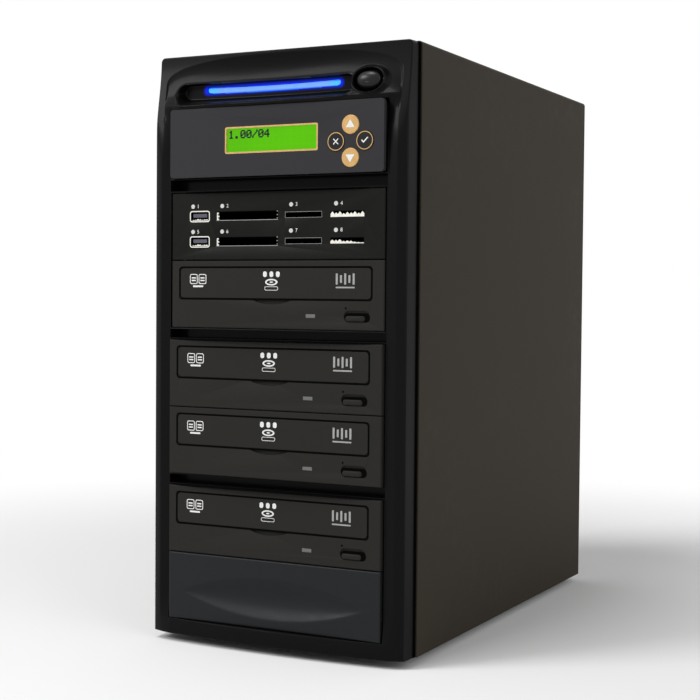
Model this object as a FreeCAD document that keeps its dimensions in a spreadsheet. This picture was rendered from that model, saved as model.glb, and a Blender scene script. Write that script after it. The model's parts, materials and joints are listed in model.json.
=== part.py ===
# Disc copying tower: four disc drives, a card reader and a control panel stacked in one column
# behind a moulded bezel, in a steel case with a fan and a power supply at the back.
# X runs to the right, Y into the case and Z up. Each piece is drawn from the plane of the drive
# faces and then moved back, so that the origin lies under the middle of the whole box.
import FreeCAD, Part
import Sketcher
import operator
import os
import sys

V = FreeCAD.Vector

# Driving dimensions in millimetres, and angles in degrees
SIZES = {
    # Steel case
    "cheek_width": 16,
    "header_height": 34.3,
    "case_depth": 303.4,
    "case_sheet": 1,
    "cover_radius": 2.5,
    "seam_gap": 1.1,
    "rear_inset": 1,
    "flange_width": 12,
    "foot_height": 5,
    "foot_half": 9,
    "foot_taper": 1,
    "foot_inset": 25,
    "overrun": 1,
    # Column of bays
    "bay_width": 148,
    "bay_clearance": 0.2,
    "bay_gap": 0.5,
    "opening_margin": 0.6,
    "drive_height": 41.6,
    "reader_height": 41.6,
    "panel_height": 42.4,
    "blank_height": 42,
    "bar_height": 7.2,
    "panel_bar_height": 8.8,
    "bottom_rail": 10,
    "deep_setback": 2.5,
    # Front bezel
    "bezel_depth": 16.5,
    "bezel_inset": 2.5,
    "bezel_draft": 1.6,
    "bow_reach": 3.5,
    "edge_setback": 0.4,
    "ridge_setback": 1.9,
    "corner_setback": 4.3,
    "top_corner_radius": 3,
    "bar_setback": 2.5,
    "bezel_wall": 2.4,
    "bezel_rear_hollow": 10,
    "fascia_height": 76,
    "fascia_bend_height": 25,
    "fascia_bend_setback": 6.8,
    "fascia_mid_setback": 3,
    "fascia_top_setback": 9.5,
    "fascia_upper_setback": 8.6,
    "header_margin": 5.5,
    "header_rise": 17,
    "brow_drop": 2,
    "lip_reach": 1,
    "lip_side_setback": 5.2,
    "lip_height": 2.8,
    "cove_overhang": 1.2,
    "header_back": 12,
    # Light funnel and its bar in the header
    "funnel_width": 126,
    "funnel_height": 14,
    "funnel_offset": 11,
    "funnel_centre_height": 9.3,
    "funnel_front": 1,
    "funnel_floor": 9,
    "funnel_floor_inset": 3,
    "funnel_floor_height": 8.6,
    "funnel_floor_rise": 12,
    "light_width": 93,
    "light_height": 3.2,
    "light_offset": 8.5,
    "light_centre_height": 12.8,
    "light_sag": 1,
    "light_setback": 14.3,
    "light_depth": 5,
    "light_margin": 2.2,
    # Power button
    "button_offset": 61.5,
    "button_centre_height": 11.4,
    "button_width": 16.2,
    "button_height": 10.7,
    "button_front": 2.2,
    "button_length": 11.5,
    "button_dome_depth": 1.4,
    "button_dome_reach": 3.2,
    "button_clearance": 0.25,
    "button_recess_width": 20,
    "button_recess_height": 14.6,
    "button_recess_depth": 6.5,
    "switch_width": 18,
    "switch_height": 14,
    "switch_depth": 12,
    # Drive cage
    "cage_gap": 5.5,
    "cage_window_width": 34,
    "cage_window_height": 24,
    # Control panel
    "panel_thickness": 3,
    "panel_skirt_depth": 9,
    "panel_wall": 1.6,
    "panel_corner": 2,
    "screen_width": 64.5,
    "screen_height": 16.3,
    "screen_offset": 1.75,
    "screen_centre_height": 21.9,
    "screen_setback": 0.8,
    "screen_depth": 6.2,
    "key_radius": 5.65,
    "key_clearance": 0.15,
    "key_reach": 0.5,
    "key_bevel": 0.3,
    "key_flange": 1,
    "key_flange_depth": 1,
    "key_gap": 0.3,
    "key_travel": 0.5,
    "key_stem_radius": 2,
    "keys_offset": 52.2,
    "keys_centre_height": 18.35,
    "key_pitch_x": 9.5,
    "key_pitch_z": 9.65,
    "board_thickness": 1.6,
    "controller_depth": 104,
    "controller_drop": 30,
    "chip_size": 24,
    "chip_height": 2.4,
    "connector_width": 17,
    "connector_height": 8,
    "connector_depth": 7,
    # Card reader
    "reader_plate": 4.5,
    "reader_depth": 92,
    "reader_sheet": 0.8,
    "reader_row_pitch": 15.7,
    "reader_low_row": 11.2,
    "usb_offset": 53.5,
    "usb_width": 14.6,
    "usb_height": 7,
    "usb_depth": 14,
    "usb_wall": 1,
    "usb_tongue_height": 1.8,
    "flash_offset": 19.6,
    "flash_width": 43.8,
    "flash_height": 5.7,
    "flash_depth": 32,
    "flash_wall": 0.4,
    "sd_offset": 19.8,
    "sd_width": 25.2,
    "sd_height": 3.7,
    "sd_depth": 28,
    "stick_offset": 49.3,
    "stick_width": 22.3,
    "stick_height": 3.6,
    "stick_depth": 26,
    "socket_wall": 0.4,
    "reader_led_radius": 1.3,
    "reader_led_rise": 6.2,
    "reader_led_reach": 0.3,
    # Disc drives
    "drive_plate": 4.5,
    "drive_inset": 1,
    "drive_depth": 164,
    "drive_margin": 0.5,
    "drive_sheet": 1,
    "drive_edge_round": 0.5,
    "door_margin": 7.5,
    "door_height": 18.6,
    "door_offset": 1.2,
    "door_bottom": 18.5,
    "door_thickness": 3,
    "door_radius": 2.5,
    "door_clearance": 0.3,
    "door_bevel": 0.6,
    "finger_width": 29,
    "finger_depth": 1.4,
    "finger_drop": 3.2,
    "finger_offset": 1.75,
    "drive_led_offset": 24.9,
    "drive_led_width": 6.5,
    "drive_led_height": 2.2,
    "drive_led_rise": 8.3,
    "drive_led_depth": 6,
    "eject_offset": 55.95,
    "eject_rise": 7.6,
    "eject_width": 13.7,
    "eject_height": 4.8,
    "eject_reach": 0.5,
    "eject_length": 6,
    "eject_clearance": 0.15,
    "eject_flange": 0.8,
    "eject_recess_width": 16.9,
    "eject_recess_height": 6.8,
    "eject_recess_depth": 0.8,
    "eject_recess_rise": 8.4,
    "tray_inset": 2.5,
    "tray_length": 158,
    "tray_rise": 20.5,
    "tray_thickness": 6.5,
    "tray_radius": 4,
    "disc_setback": 72,
    "disc_well_radius": 60.4,
    "disc_well_depth": 2.6,
    "small_well_radius": 40.4,
    "small_well_depth": 0.8,
    "tray_slot_width": 34,
    "tray_slot_front": 20,
    "tray_slot_length": 96,
    "guide_clearance": 0.3,
    "guide_width": 9,
    "guide_front": 8,
    "guide_length": 150,
    "deck_thickness": 2,
    "deck_rise": 4,
    "motor_half": 13,
    "motor_height": 6,
    "spindle_radius": 1.5,
    "spindle_clearance": 0.06,
    "spindle_length": 4,
    "spindle_gap": 0.5,
    "turntable_radius": 14,
    "turntable_height": 1.8,
    "clamp_hub_radius": 7.4,
    "clamp_hub_height": 2.6,
    "pickup_width": 34,
    "pickup_length": 24,
    "pickup_height": 6,
    # Bay blank
    "blank_plate": 5,
    "blank_bevel": 0.8,
    "scoop_half_width": 61.5,
    "scoop_half_height": 10.5,
    "scoop_rise": 16.3,
    "scoop_depth": 3.2,
    "scoop_bevel": 7,
    "clip_depth": 9,
    "clip_height": 16,
    "clip_thickness": 1.6,
    # Power supply, fans and the rear
    "supply_width": 150,
    "supply_height": 86,
    "supply_depth": 136,
    "supply_sheet": 1,
    "supply_lip": 3,
    "fan_size": 80,
    "fan_depth": 25,
    "fan_bore_radius": 38,
    "fan_hub_radius": 14,
    "fan_hub_depth": 20,
    "fan_blade_radius": 36.5,
    "fan_blade_half": 7.5,
    "fan_blade_thickness": 1.2,
    "fan_motor_depth": 4,
    "fan_strut_width": 4,
    "fan_rear_gap": 0.5,
    "case_fan_height": 245,
    "supply_fan_offset": 30,
    "grille_slot_height": 6.5,
    "grille_slot_pitch": 10.5,
    "inlet_offset": 44,
    "inlet_rise": 24,
    "inlet_width": 27.5,
    "inlet_height": 19.5,
    "inlet_depth": 20,
    "inlet_wall": 1.6,
    "inlet_flange": 2.5,
    "inlet_flange_depth": 1.2,
    "inlet_pin_width": 2,
    "inlet_pin_height": 4,
    "inlet_pin_length": 15,
    "inlet_pin_pitch": 7,
    "inlet_pin_offset": 2,
    "rocker_rise": 56,
    "rocker_width": 13,
    "rocker_height": 19,
    "rocker_depth": 8,
    "rocker_reach": 1.6,
    "rocker_tilt_reach": 1,
    "rocker_pin_radius": 1.2,
    "rocker_pin_depth": 3,
    "rocker_pin_reach": 0.8,
    "rocker_clearance": 0.3,
    "rocker_wall": 1.5,
    "rocker_housing_depth": 12,
    "screw_radius": 3,
    "screw_head": 2.2,
    "screw_inset": 6,
    # Wiring between the controller and the drives
    "cable_width": 12,
    "cable_thickness": 1.6,
    "plug_depth": 6,
    "plug_height": 7,
    "cable_offset": 30,
}

# Sections of the header from its middle to its ends: place across, height of the brow,
# setback of the lip and overhang of the brow, each as a share of its own size
HEADER_SHARES = ((-1, 0, 1, 0.25), (-0.9, 0.45, 0.65, 0.5), (-0.7, 0.78, 0.3, 0.8), (-0.4, 0.95, 0.06, 0.95),
                 (0, 1, 0, 1), (0.4, 0.95, 0.06, 0.95), (0.7, 0.78, 0.3, 0.8), (0.9, 0.45, 0.65, 0.5),
                 (1, 0, 1, 0.25))
BLOCK_HEIGHT_SHARE = 0.7
COVE_HEIGHT_SHARE = 0.62
FASCIA_SLOPE_SHARE = 0.108
HEXAGON_SHARE = 0.866
ROCKER_HIGH_SHARE = 0.86
ROCKER_LOW_SHARE = 0.97
BUTTON_END_SHARE = 0.7
SCOOP_END_SHARE = 0.6
SCOOP_FLOOR_SHARE = 0.1
GRILLE_SLOT_SHARES = (0.64, 0.87, 0.97, 0.97, 0.87, 0.64)
PILL_SHARE = 0.98
FAN_BLADE_RISE_SHARE = 0.95
FAN_BLADES = 7
DRIVES = (1, 2, 3, 4)
FRONT = "XZ_Plane"
TOP = "XY_Plane"
SIDE = "YZ_Plane"
ORIGIN = (-1, 1)


class Size:
    """A size in millimetres, with the expression that works it out in the document."""

    def __init__(self, value, text):
        self.value = value
        self.text = text

    def __add__(self, other):
        return combined(self, other, "+", operator.add)

    def __radd__(self, other):
        return combined(other, self, "+", operator.add)

    def __sub__(self, other):
        return combined(self, other, "-", operator.sub)

    def __rsub__(self, other):
        return combined(other, self, "-", operator.sub)

    def __mul__(self, other):
        return combined(self, other, "*", operator.mul)

    def __rmul__(self, other):
        return combined(other, self, "*", operator.mul)

    def __truediv__(self, other):
        return combined(self, other, "/", operator.truediv)

    def __neg__(self):
        return combined(0, self, "-", operator.sub)


def as_size(item):
    """The item itself if it is a size, or else a plain number as one."""
    return item if isinstance(item, Size) else Size(float(item), str(float(item)))


def combined(first, second, sign, rule):
    """The sum, difference, product or quotient of two sizes."""
    first = as_size(first)
    second = as_size(second)
    return Size(rule(first.value, second.value), f"({first.text} {sign} {second.text})")


class Sheet:
    """The spreadsheet of driving dimensions, each read as an attribute."""

    def __init__(self, document, table):
        cells = document.addObject("Spreadsheet::Sheet", "sizes")
        for row, (alias, number) in enumerate(table.items(), start=1):
            cells.set(f"A{row}", alias)
            cells.set(f"B{row}", str(number))
            cells.setAlias(f"B{row}", alias)
            setattr(self, alias, Size(float(number), f"sizes.{alias}"))


doc = FreeCAD.newDocument("disc_copying_tower")
s = Sheet(doc, SIZES)
nodes = []

# Levels that several pieces share, worked out from the sizes above
case_width = s.bay_width + 2 * s.cheek_width
half_case = case_width / 2
case_bottom = s.foot_height
cover_front = s.bezel_depth + s.seam_gap
case_back = cover_front + s.case_depth
panel_back = case_back - s.rear_inset
half_opening = s.bay_width / 2 + s.opening_margin
opening_bottom = case_bottom + s.bottom_rail
blank_bottom = opening_bottom + s.bay_clearance
drive_4_bottom = blank_bottom + s.blank_height + s.bay_gap
bar_4_bottom = drive_4_bottom + s.drive_height + s.bay_clearance
drive_3_bottom = bar_4_bottom + s.bar_height + s.bay_clearance
drive_2_bottom = drive_3_bottom + s.drive_height + s.bay_gap
bar_2_bottom = drive_2_bottom + s.drive_height + s.bay_clearance
drive_1_bottom = bar_2_bottom + s.bar_height + s.bay_clearance
reader_bottom = drive_1_bottom + s.drive_height + s.bay_gap
panel_bar_bottom = reader_bottom + s.reader_height + s.bay_clearance
panel_bottom = panel_bar_bottom + s.panel_bar_height + s.bay_clearance
opening_top = panel_bottom + s.panel_height + s.bay_clearance
case_top = opening_top + s.header_height
case_height = case_top - case_bottom
drive_bottoms = {1: drive_1_bottom, 2: drive_2_bottom, 3: drive_3_bottom, 4: drive_4_bottom}
drive_setbacks = {1: s.deep_setback, 2: as_size(0), 3: as_size(0), 4: as_size(0)}
plate_back = s.bezel_depth + s.case_sheet
centre_y = (panel_back + s.screw_head - s.bow_reach) / 2
supply_front = panel_back - s.case_sheet - s.supply_depth
supply_bottom = case_bottom + s.case_sheet
cage_length = supply_front - plate_back - s.cage_gap
header_half_width = half_case - s.bezel_inset - s.header_margin
drive_width = s.bay_width - 2 * s.drive_inset
door_width = s.bay_width - 2 * s.door_margin
tray_width = door_width - 2 * s.tray_inset


class Outline:
    """A sketch on one of a body's origin planes, moved along its axis to a level."""

    def __init__(self, body, plane, level=0):
        self.body = body
        self.plane = plane
        self.sketch = body.newObject("Sketcher::SketchObject", "Outline")
        support = next(item for item in body.Origin.OriginFeatures if item.Role == plane)
        self.sketch.AttachmentSupport = [(support, "")]
        self.sketch.MapMode = "FlatFace"
        offset = -as_size(level) if plane == FRONT else as_size(level)
        self.sketch.setExpression("AttachmentOffset.Base.z", offset.text)

    def add(self, *shapes):
        """The indices of new edges in the sketch."""
        return [self.sketch.addGeometry(shape, False) for shape in shapes]

    def tie(self, kind, *places):
        """A constraint without a size."""
        return self.sketch.addConstraint(Sketcher.Constraint(kind, *places))

    def hold(self, kind, places, length):
        """A constraint whose value follows a size."""
        length = as_size(length)
        index = self.sketch.addConstraint(Sketcher.Constraint(kind, *places, length.value))
        self.sketch.setExpression(f"Constraints[{index}]", length.text)

    def pin(self, edge, end, across, along):
        """Hold one end of an edge at its two distances from the origin."""
        self.hold("DistanceX", (*ORIGIN, edge, end), across)
        self.hold("DistanceY", (*ORIGIN, edge, end), along)

    def path(self, *points):
        """A closed run of lines. A point marked True lies midway on an arc between its neighbours."""
        run = []
        start = points[0]
        via = None
        for point in (*points[1:], points[0]):
            if len(point) == 3:
                via = point
                continue
            first = V(as_size(start[0]).value, as_size(start[1]).value, 0)
            last = V(as_size(point[0]).value, as_size(point[1]).value, 0)
            if via:
                middle = V(as_size(via[0]).value, as_size(via[1]).value, 0)
                edge = self.add(Part.Arc(first, middle, last))[0]
                near = self.sketch.getPoint(edge, 1).distanceToPoint(first)
                ends = (1, 2) if near < self.sketch.getPoint(edge, 2).distanceToPoint(first) else (2, 1)
                mark = self.sketch.addGeometry(Part.Point(middle), True)
                self.tie("PointOnObject", mark, 1, edge)
                self.pin(mark, 1, via[0], via[1])
            else:
                edge = self.add(Part.LineSegment(first, last))[0]
                ends = (1, 2)
            self.pin(edge, ends[0], start[0], start[1])
            run.append((edge, *ends))
            start = point
            via = None
        for here, after in zip(run, run[1:] + run[:1]):
            self.tie("Coincident", here[0], here[2], after[0], after[1])
        return self

    def rectangle(self, left, right, low, high):
        """A rectangle between four distances from the origin."""
        return self.path((left, low), (right, low), (right, high), (left, high))

    def rounded(self, left, right, low, high, radius):
        """A rectangle with four equal round corners."""
        left, right, low, high, radius = (as_size(item) for item in (left, right, low, high, radius))
        bend = radius.value
        lines = self.add(
            Part.LineSegment(V(left.value + bend, low.value, 0), V(right.value - bend, low.value, 0)),
            Part.LineSegment(V(right.value, low.value + bend, 0), V(right.value, high.value - bend, 0)),
            Part.LineSegment(V(right.value - bend, high.value, 0), V(left.value + bend, high.value, 0)),
            Part.LineSegment(V(left.value, high.value - bend, 0), V(left.value, low.value + bend, 0)))
        quarter = FreeCAD.Units.Quantity("90 deg").getValueAs("rad").Value
        centres = ((right.value - bend, low.value + bend, 3), (right.value - bend, high.value - bend, 0),
                   (left.value + bend, high.value - bend, 1), (left.value + bend, low.value + bend, 2))
        arcs = []
        for across, along, turn in centres:
            circle = Part.Circle(V(across, along, 0), V(0, 0, 1), bend)
            arcs += self.add(Part.ArcOfCircle(circle, turn * quarter, (turn + 1) * quarter))
        for number in range(4):
            self.tie("Tangent", lines[number], 2, arcs[number], 1)
            self.tie("Tangent", arcs[number], 2, lines[(number + 1) % 4], 1)
        for number in range(4):
            self.tie("Vertical" if number % 2 else "Horizontal", lines[number])
        self.hold("Radius", (arcs[0],), radius)
        for arc in arcs[1:]:
            self.tie("Equal", arcs[0], arc)
        self.hold("DistanceY", (*ORIGIN, lines[0], 1), low)
        self.hold("DistanceX", (*ORIGIN, lines[1], 1), right)
        self.hold("DistanceY", (*ORIGIN, lines[2], 1), high)
        self.hold("DistanceX", (*ORIGIN, lines[3], 1), left)
        return self

    def circle(self, across, along, radius):
        """A circle about a point."""
        place = V(as_size(across).value, as_size(along).value, 0)
        edge = self.add(Part.Circle(place, V(0, 0, 1), as_size(radius).value))[0]
        self.hold("Radius", (edge,), radius)
        self.pin(edge, 3, across, along)
        return self

    def oval(self, across, along, half_width, half_height, end_share):
        """An oval of two long arcs and two end arcs, whose centres lie so that the arcs meet in line."""
        end = half_height * end_share
        reach = half_width - end
        side = (reach * reach + half_height * half_height - end * end) / (2 * (half_height - end))
        wide = reach + end * reach / (side - end)
        tall = end * (side - half_height) / (side - end)
        return self.path((across + wide, along + tall), (across, along + half_height, True),
                         (across - wide, along + tall), (across - half_width, along, True),
                         (across - wide, along - tall), (across, along - half_height, True),
                         (across + wide, along - tall), (across + half_width, along, True))

    def pad(self, length):
        """Add material along the plane's axis."""
        item = self.body.newObject("PartDesign::Pad", "Pad")
        item.Profile = self.sketch
        item.setExpression("Length", as_size(length).text)
        item.Reversed = self.plane == FRONT
        return item

    def cut(self, length):
        """Remove material along the plane's axis."""
        item = self.body.newObject("PartDesign::Pocket", "Cut")
        item.Profile = self.sketch
        item.setExpression("Length", as_size(length).text)
        item.Reversed = self.plane != FRONT
        return item


def piece(label, below=0, before=0, listed=True):
    """An empty body in its place, kept as a node unless it is part of a group."""
    body = doc.addObject("PartDesign::Body", label)
    body.Label = label
    body.setExpression("Placement.Base.y", (before - centre_y).text)
    body.setExpression("Placement.Base.z", as_size(below).text)
    if listed:
        nodes.append(body)
    return body


def group(label, members):
    """Several separate solids kept as one node."""
    item = doc.addObject("Part::Compound", label)
    item.Label = label
    item.Links = members
    nodes.append(item)
    return item


def loft(kind, outlines, ruled=False):
    """A loft through several outlines of one body."""
    item = outlines[0].body.newObject(f"PartDesign::{kind}Loft", "Loft")
    item.Profile = outlines[0].sketch
    item.Sections = [(outline.sketch, [""]) for outline in outlines[1:]]
    item.Ruled = ruled
    return item


def dress(body, kind, length, choose):
    """A fillet or chamfer on the edges that the rule chooses."""
    doc.recompute()
    base = body.Tip
    edges = [f"Edge{number}" for number, edge in enumerate(base.Shape.Edges, start=1) if choose(edge)]
    item = body.newObject(f"PartDesign::{kind}", kind)
    item.Base = (base, edges)
    item.setExpression("Radius" if kind == "Fillet" else "Size", as_size(length).text)
    return item


def widen(bevel, across):
    """Let a chamfer reach further across the face than down the wall."""
    bevel.ChamferType = 1
    bevel.FlipDirection = True
    bevel.setExpression("Size2", across.text)


def pattern(body, feature, axis_role, count):
    """Repeat a feature evenly round one of the body's axes."""
    item = body.newObject("PartDesign::PolarPattern", "Ring")
    item.Originals = [feature]
    axis = next(part for part in body.Origin.OriginFeatures if part.Role == axis_role)
    item.Axis = (axis, [""])
    item.Angle = 360
    item.Occurrences = count
    body.Tip = item
    return item


def at_level(edge, axis, level):
    """Whether an edge lies wholly at one level along an axis."""
    box = edge.BoundBox
    low = getattr(box, f"{axis}Min")
    high = getattr(box, f"{axis}Max")
    near = s.overrun.value / 100
    return abs(low - as_size(level).value) < near and abs(high - as_size(level).value) < near


def chassis_frame():
    """Folded steel frame: floor, front plate and rear panel with flanges that the cover closes on."""
    body = piece("chassis_frame")
    half = half_case - s.case_sheet
    roof = case_top - s.case_sheet
    Outline(body, TOP, case_bottom).rectangle(-half, half, s.bezel_depth, panel_back).pad(
        case_height - s.case_sheet)
    dress(body, "Fillet", s.cover_radius - s.case_sheet,
          lambda edge: at_level(edge, "Z", roof) and edge.BoundBox.YLength > edge.BoundBox.XLength)
    inner = half - s.case_sheet
    Outline(body, TOP, supply_bottom).rectangle(
        -inner, inner, plate_back, panel_back - s.case_sheet).cut(case_height - 3 * s.case_sheet)
    rim_front = s.bezel_depth + s.flange_width
    rim_back = panel_back - s.flange_width
    Outline(body, TOP, roof - s.flange_width).rectangle(
        -half + s.flange_width, half - s.flange_width, rim_front, rim_back).cut(2 * s.flange_width)
    Outline(body, SIDE, -half - s.overrun).rectangle(
        rim_front, rim_back, case_bottom + s.flange_width, roof - s.flange_width).cut(case_width)
    window = Outline(body, FRONT, s.bezel_depth - s.overrun)
    window.rectangle(-half_opening, half_opening, opening_bottom, opening_top)
    header_floor = opening_top + s.light_centre_height
    window.rectangle(-half_opening, half_opening, header_floor - s.switch_height, header_floor + s.header_rise / 2)
    window.cut(s.case_sheet + 2 * s.overrun)
    rear = Outline(body, FRONT, panel_back - s.case_sheet - s.overrun)
    half_supply = s.supply_width / 2 - s.supply_lip
    rear.rectangle(-half_supply, half_supply, supply_bottom + s.supply_lip,
                   supply_bottom + s.supply_height - s.supply_lip)
    rear.cut(s.case_sheet + 2 * s.overrun)
    grille(body, 0, s.case_fan_height, panel_back - s.case_sheet)


def grille(body, across, along, front):
    """Slots in rows within a circle, cut through the sheet behind a fan."""
    rows = len(GRILLE_SLOT_SHARES)
    tall = s.grille_slot_height / 2
    for row, share in enumerate(GRILLE_SLOT_SHARES):
        middle = along + s.grille_slot_pitch * (row - (rows - 1) / 2)
        half = s.fan_blade_radius * share
        Outline(body, FRONT, front - s.overrun).rounded(
            across - half, across + half, middle - tall, middle + tall, tall * PILL_SHARE).cut(
            s.case_sheet + 2 * s.overrun)


def outer_cover():
    """Cover bent from one sheet over the top and both sides."""
    body = piece("outer_cover")
    Outline(body, FRONT, cover_front).rectangle(-half_case, half_case, case_bottom, case_top).pad(s.case_depth)
    dress(body, "Fillet", s.cover_radius,
          lambda edge: at_level(edge, "Z", case_top) and edge.BoundBox.YLength > edge.BoundBox.XLength)
    inner = half_case - s.case_sheet
    roof = case_top - s.case_sheet
    bend = s.cover_radius - s.case_sheet
    Outline(body, FRONT, cover_front - s.overrun).rectangle(
        -inner, inner, case_bottom - s.overrun, roof).cut(s.case_depth + 2 * s.overrun)
    dress(body, "Fillet", bend,
          lambda edge: at_level(edge, "Z", roof) and edge.BoundBox.YLength > edge.BoundBox.XLength)


def rubber_feet():
    """Four square rubber feet under the floor, bevelled round the sole."""
    feet = []
    across = half_case - s.foot_inset
    half = s.foot_half
    for side in (-1, 1):
        for along in (s.bezel_depth + s.foot_inset, panel_back - s.foot_inset):
            foot = piece("rubber_foot", listed=False)
            Outline(foot, TOP, 0).rectangle(
                across * side - half, across * side + half, along - half, along + half).pad(s.foot_height)
            dress(foot, "Chamfer", s.foot_taper, lambda edge: at_level(edge, "Z", 0))
            feet.append(foot)
    group("rubber_feet", feet)


def drive_cage(label, side):
    """One side plate of the drive cage, with windows and two turned flanges."""
    body = piece(label)
    inner = drive_width / 2
    start = inner if side > 0 else -inner - s.case_sheet
    Outline(body, SIDE, start).rectangle(
        plate_back, plate_back + cage_length, supply_bottom, opening_top).pad(s.case_sheet)
    flange = Outline(body, FRONT, plate_back)
    edge = (inner + s.flange_width) * side
    flange.rectangle(*sorted((inner * side, edge), key=lambda item: item.value), supply_bottom, opening_top)
    flange.pad(s.case_sheet)
    floor = Outline(body, TOP, supply_bottom)
    floor.rectangle(*sorted((inner * side, edge), key=lambda item: item.value),
                    plate_back, plate_back + cage_length)
    floor.pad(s.case_sheet)
    windows = Outline(body, SIDE, start - s.overrun)
    for bottom in drive_bottoms.values():
        for number in (1, 3):
            middle = plate_back + cage_length * number / 4
            low = bottom + (s.drive_height - s.cage_window_height) / 2
            windows.rectangle(middle - s.cage_window_width / 2, middle + s.cage_window_width / 2,
                              low, low + s.cage_window_height)
    windows.cut(s.case_sheet + 2 * s.overrun)


def front_bezel():
    """Moulded bezel: a bowed frame round the bays, two bars and a header with a scooped brow."""
    body = piece("front_bezel")
    corner = half_case - s.bezel_inset
    ridge = (half_opening + corner) / 2
    plan = Outline(body, TOP, case_bottom)
    plan.path((-corner, s.corner_setback), (-ridge, s.ridge_setback, True), (-half_opening, s.edge_setback),
              (0, -s.bow_reach, True), (half_opening, s.edge_setback), (ridge, s.ridge_setback, True),
              (corner, s.corner_setback), (corner + s.bezel_draft, s.bezel_depth + s.flange_width),
              (-corner - s.bezel_draft, s.bezel_depth + s.flange_width))
    plan.pad(case_height)
    dress(body, "Fillet", s.top_corner_radius, lambda edge: at_level(edge, "Z", case_top)
          and abs(edge.CenterOfMass.x) > half_opening.value and edge.BoundBox.YLength > s.bezel_depth.value)
    Outline(body, FRONT, s.bezel_depth).rectangle(
        -case_width, case_width, 0, case_top + s.overrun).cut(2 * s.flange_width)
    fascia = Outline(body, SIDE, -case_width)
    bend = case_top - s.fascia_bend_height
    fascia_foot = case_top - s.fascia_height
    fascia.path((-s.bezel_depth, fascia_foot), (s.edge_setback, fascia_foot),
                (s.fascia_mid_setback, (fascia_foot + bend) / 2, True), (s.fascia_bend_setback, bend),
                (s.fascia_upper_setback, (bend + case_top) / 2, True),
                (s.fascia_top_setback, case_top), (s.fascia_top_setback, case_top + s.overrun),
                (-s.bezel_depth, case_top + s.overrun))
    fascia.cut(2 * case_width)
    header_sections(body, True)
    header_sections(body, False)
    Outline(body, FRONT, -s.bezel_depth).rectangle(
        -half_opening, half_opening, opening_bottom, opening_top).cut(s.bezel_depth + s.bar_setback)
    windows = Outline(body, FRONT, 0)
    for low, high in ((opening_bottom, bar_4_bottom), (bar_4_bottom + s.bar_height, bar_2_bottom),
                      (bar_2_bottom + s.bar_height, panel_bar_bottom),
                      (panel_bar_bottom + s.panel_bar_height, opening_top)):
        windows.rectangle(-half_opening, half_opening, low, high)
    windows.cut(s.bezel_depth + s.overrun)
    rear_start = s.bezel_depth - s.bezel_rear_hollow
    hollow = Outline(body, FRONT, rear_start)
    for side in (-1, 1):
        near = (half_opening + s.bezel_wall) * side
        far = (corner - s.bezel_wall) * side
        hollow.rectangle(*sorted((near, far), key=lambda item: item.value),
                         opening_bottom, opening_top - s.bezel_wall)
    hollow.rectangle(-half_opening, half_opening, case_bottom + s.bezel_wall, opening_bottom - s.bezel_wall)
    hollow.cut(s.bezel_rear_hollow + s.overrun)
    light_funnel(body)
    button_well(body)


def header_sections(body, solid):
    """Either the block that stands in front of the fascia or the cove cut into it below the brow."""
    outlines = []
    lip_top = opening_top + s.lip_height
    end_top = opening_top + s.header_rise
    brow_top = case_top - s.brow_drop
    for across, rise_share, lip_share, cove_share in HEADER_SHARES:
        outline = Outline(body, SIDE, header_half_width * across)
        top = end_top + (brow_top - end_top) * rise_share
        brow = s.fascia_top_setback - (case_top - top) * FASCIA_SLOPE_SHARE
        lip = (s.lip_side_setback + s.lip_reach) * lip_share - s.lip_reach
        if solid:
            shoulder = lip_top + (top - lip_top) * BLOCK_HEIGHT_SHARE
            outline.path((lip, opening_top), (s.header_back, opening_top), (s.header_back, shoulder),
                         (brow, shoulder), (lip, lip_top))
        else:
            cove = brow + s.cove_overhang * cove_share
            outline.path((-s.bezel_depth, lip_top), (lip, lip_top),
                         (cove, lip_top + (top - lip_top) * COVE_HEIGHT_SHARE, True),
                         (brow, top), (-s.bezel_depth, top))
        outlines.append(outline)
    loft("Additive" if solid else "Subtractive", outlines, ruled=solid)


def light_outline(outline, margin=0):
    """The long thin shape of the light, its middle a little lower than its ends."""
    half = s.light_width / 2 + margin
    left = -half - s.light_offset
    right = half - s.light_offset
    level = opening_top + s.light_centre_height
    thick = s.light_height / 2 + margin
    return outline.path((left + thick, level + thick), (left, level, True), (left + thick, level - thick),
                        (-s.light_offset, level - thick - s.light_sag, True), (right - thick, level - thick),
                        (right, level, True), (right - thick, level + thick),
                        (-s.light_offset, level + thick - s.light_sag, True))


def funnel_outline(outline, half, radius, rise):
    """The wide oblong of the recess in front of the light, at its mouth or its floor."""
    level = opening_top + rise
    left = -half - s.funnel_offset
    right = half - s.funnel_offset
    return outline.path((left + radius, level + radius), (left, level, True), (left + radius, level - radius),
                        (-s.funnel_offset, level - radius - s.light_sag / 2, True),
                        (right - radius, level - radius), (right, level, True),
                        (right - radius, level + radius),
                        (-s.funnel_offset, level + radius - s.light_sag / 2, True))


def light_funnel(body):
    """Recess with sloping walls and a floor, and a slot through the floor for the light."""
    mouth = (s.funnel_width / 2, s.funnel_height / 2, s.funnel_centre_height)
    floor = (s.funnel_width / 2 - s.funnel_floor_inset, s.funnel_floor_height / 2, s.funnel_floor_rise)
    funnel_outline(Outline(body, FRONT, -s.bezel_depth), *mouth).cut(s.bezel_depth + s.funnel_front)
    loft("Subtractive", [funnel_outline(Outline(body, FRONT, s.funnel_front), *mouth),
                         funnel_outline(Outline(body, FRONT, s.funnel_floor), *floor)], ruled=True)
    light_outline(Outline(body, FRONT, s.funnel_front), s.light_margin).cut(s.light_setback - s.funnel_front)
    light_outline(Outline(body, FRONT, s.light_setback - s.overrun)).cut(s.bezel_depth)


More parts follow.
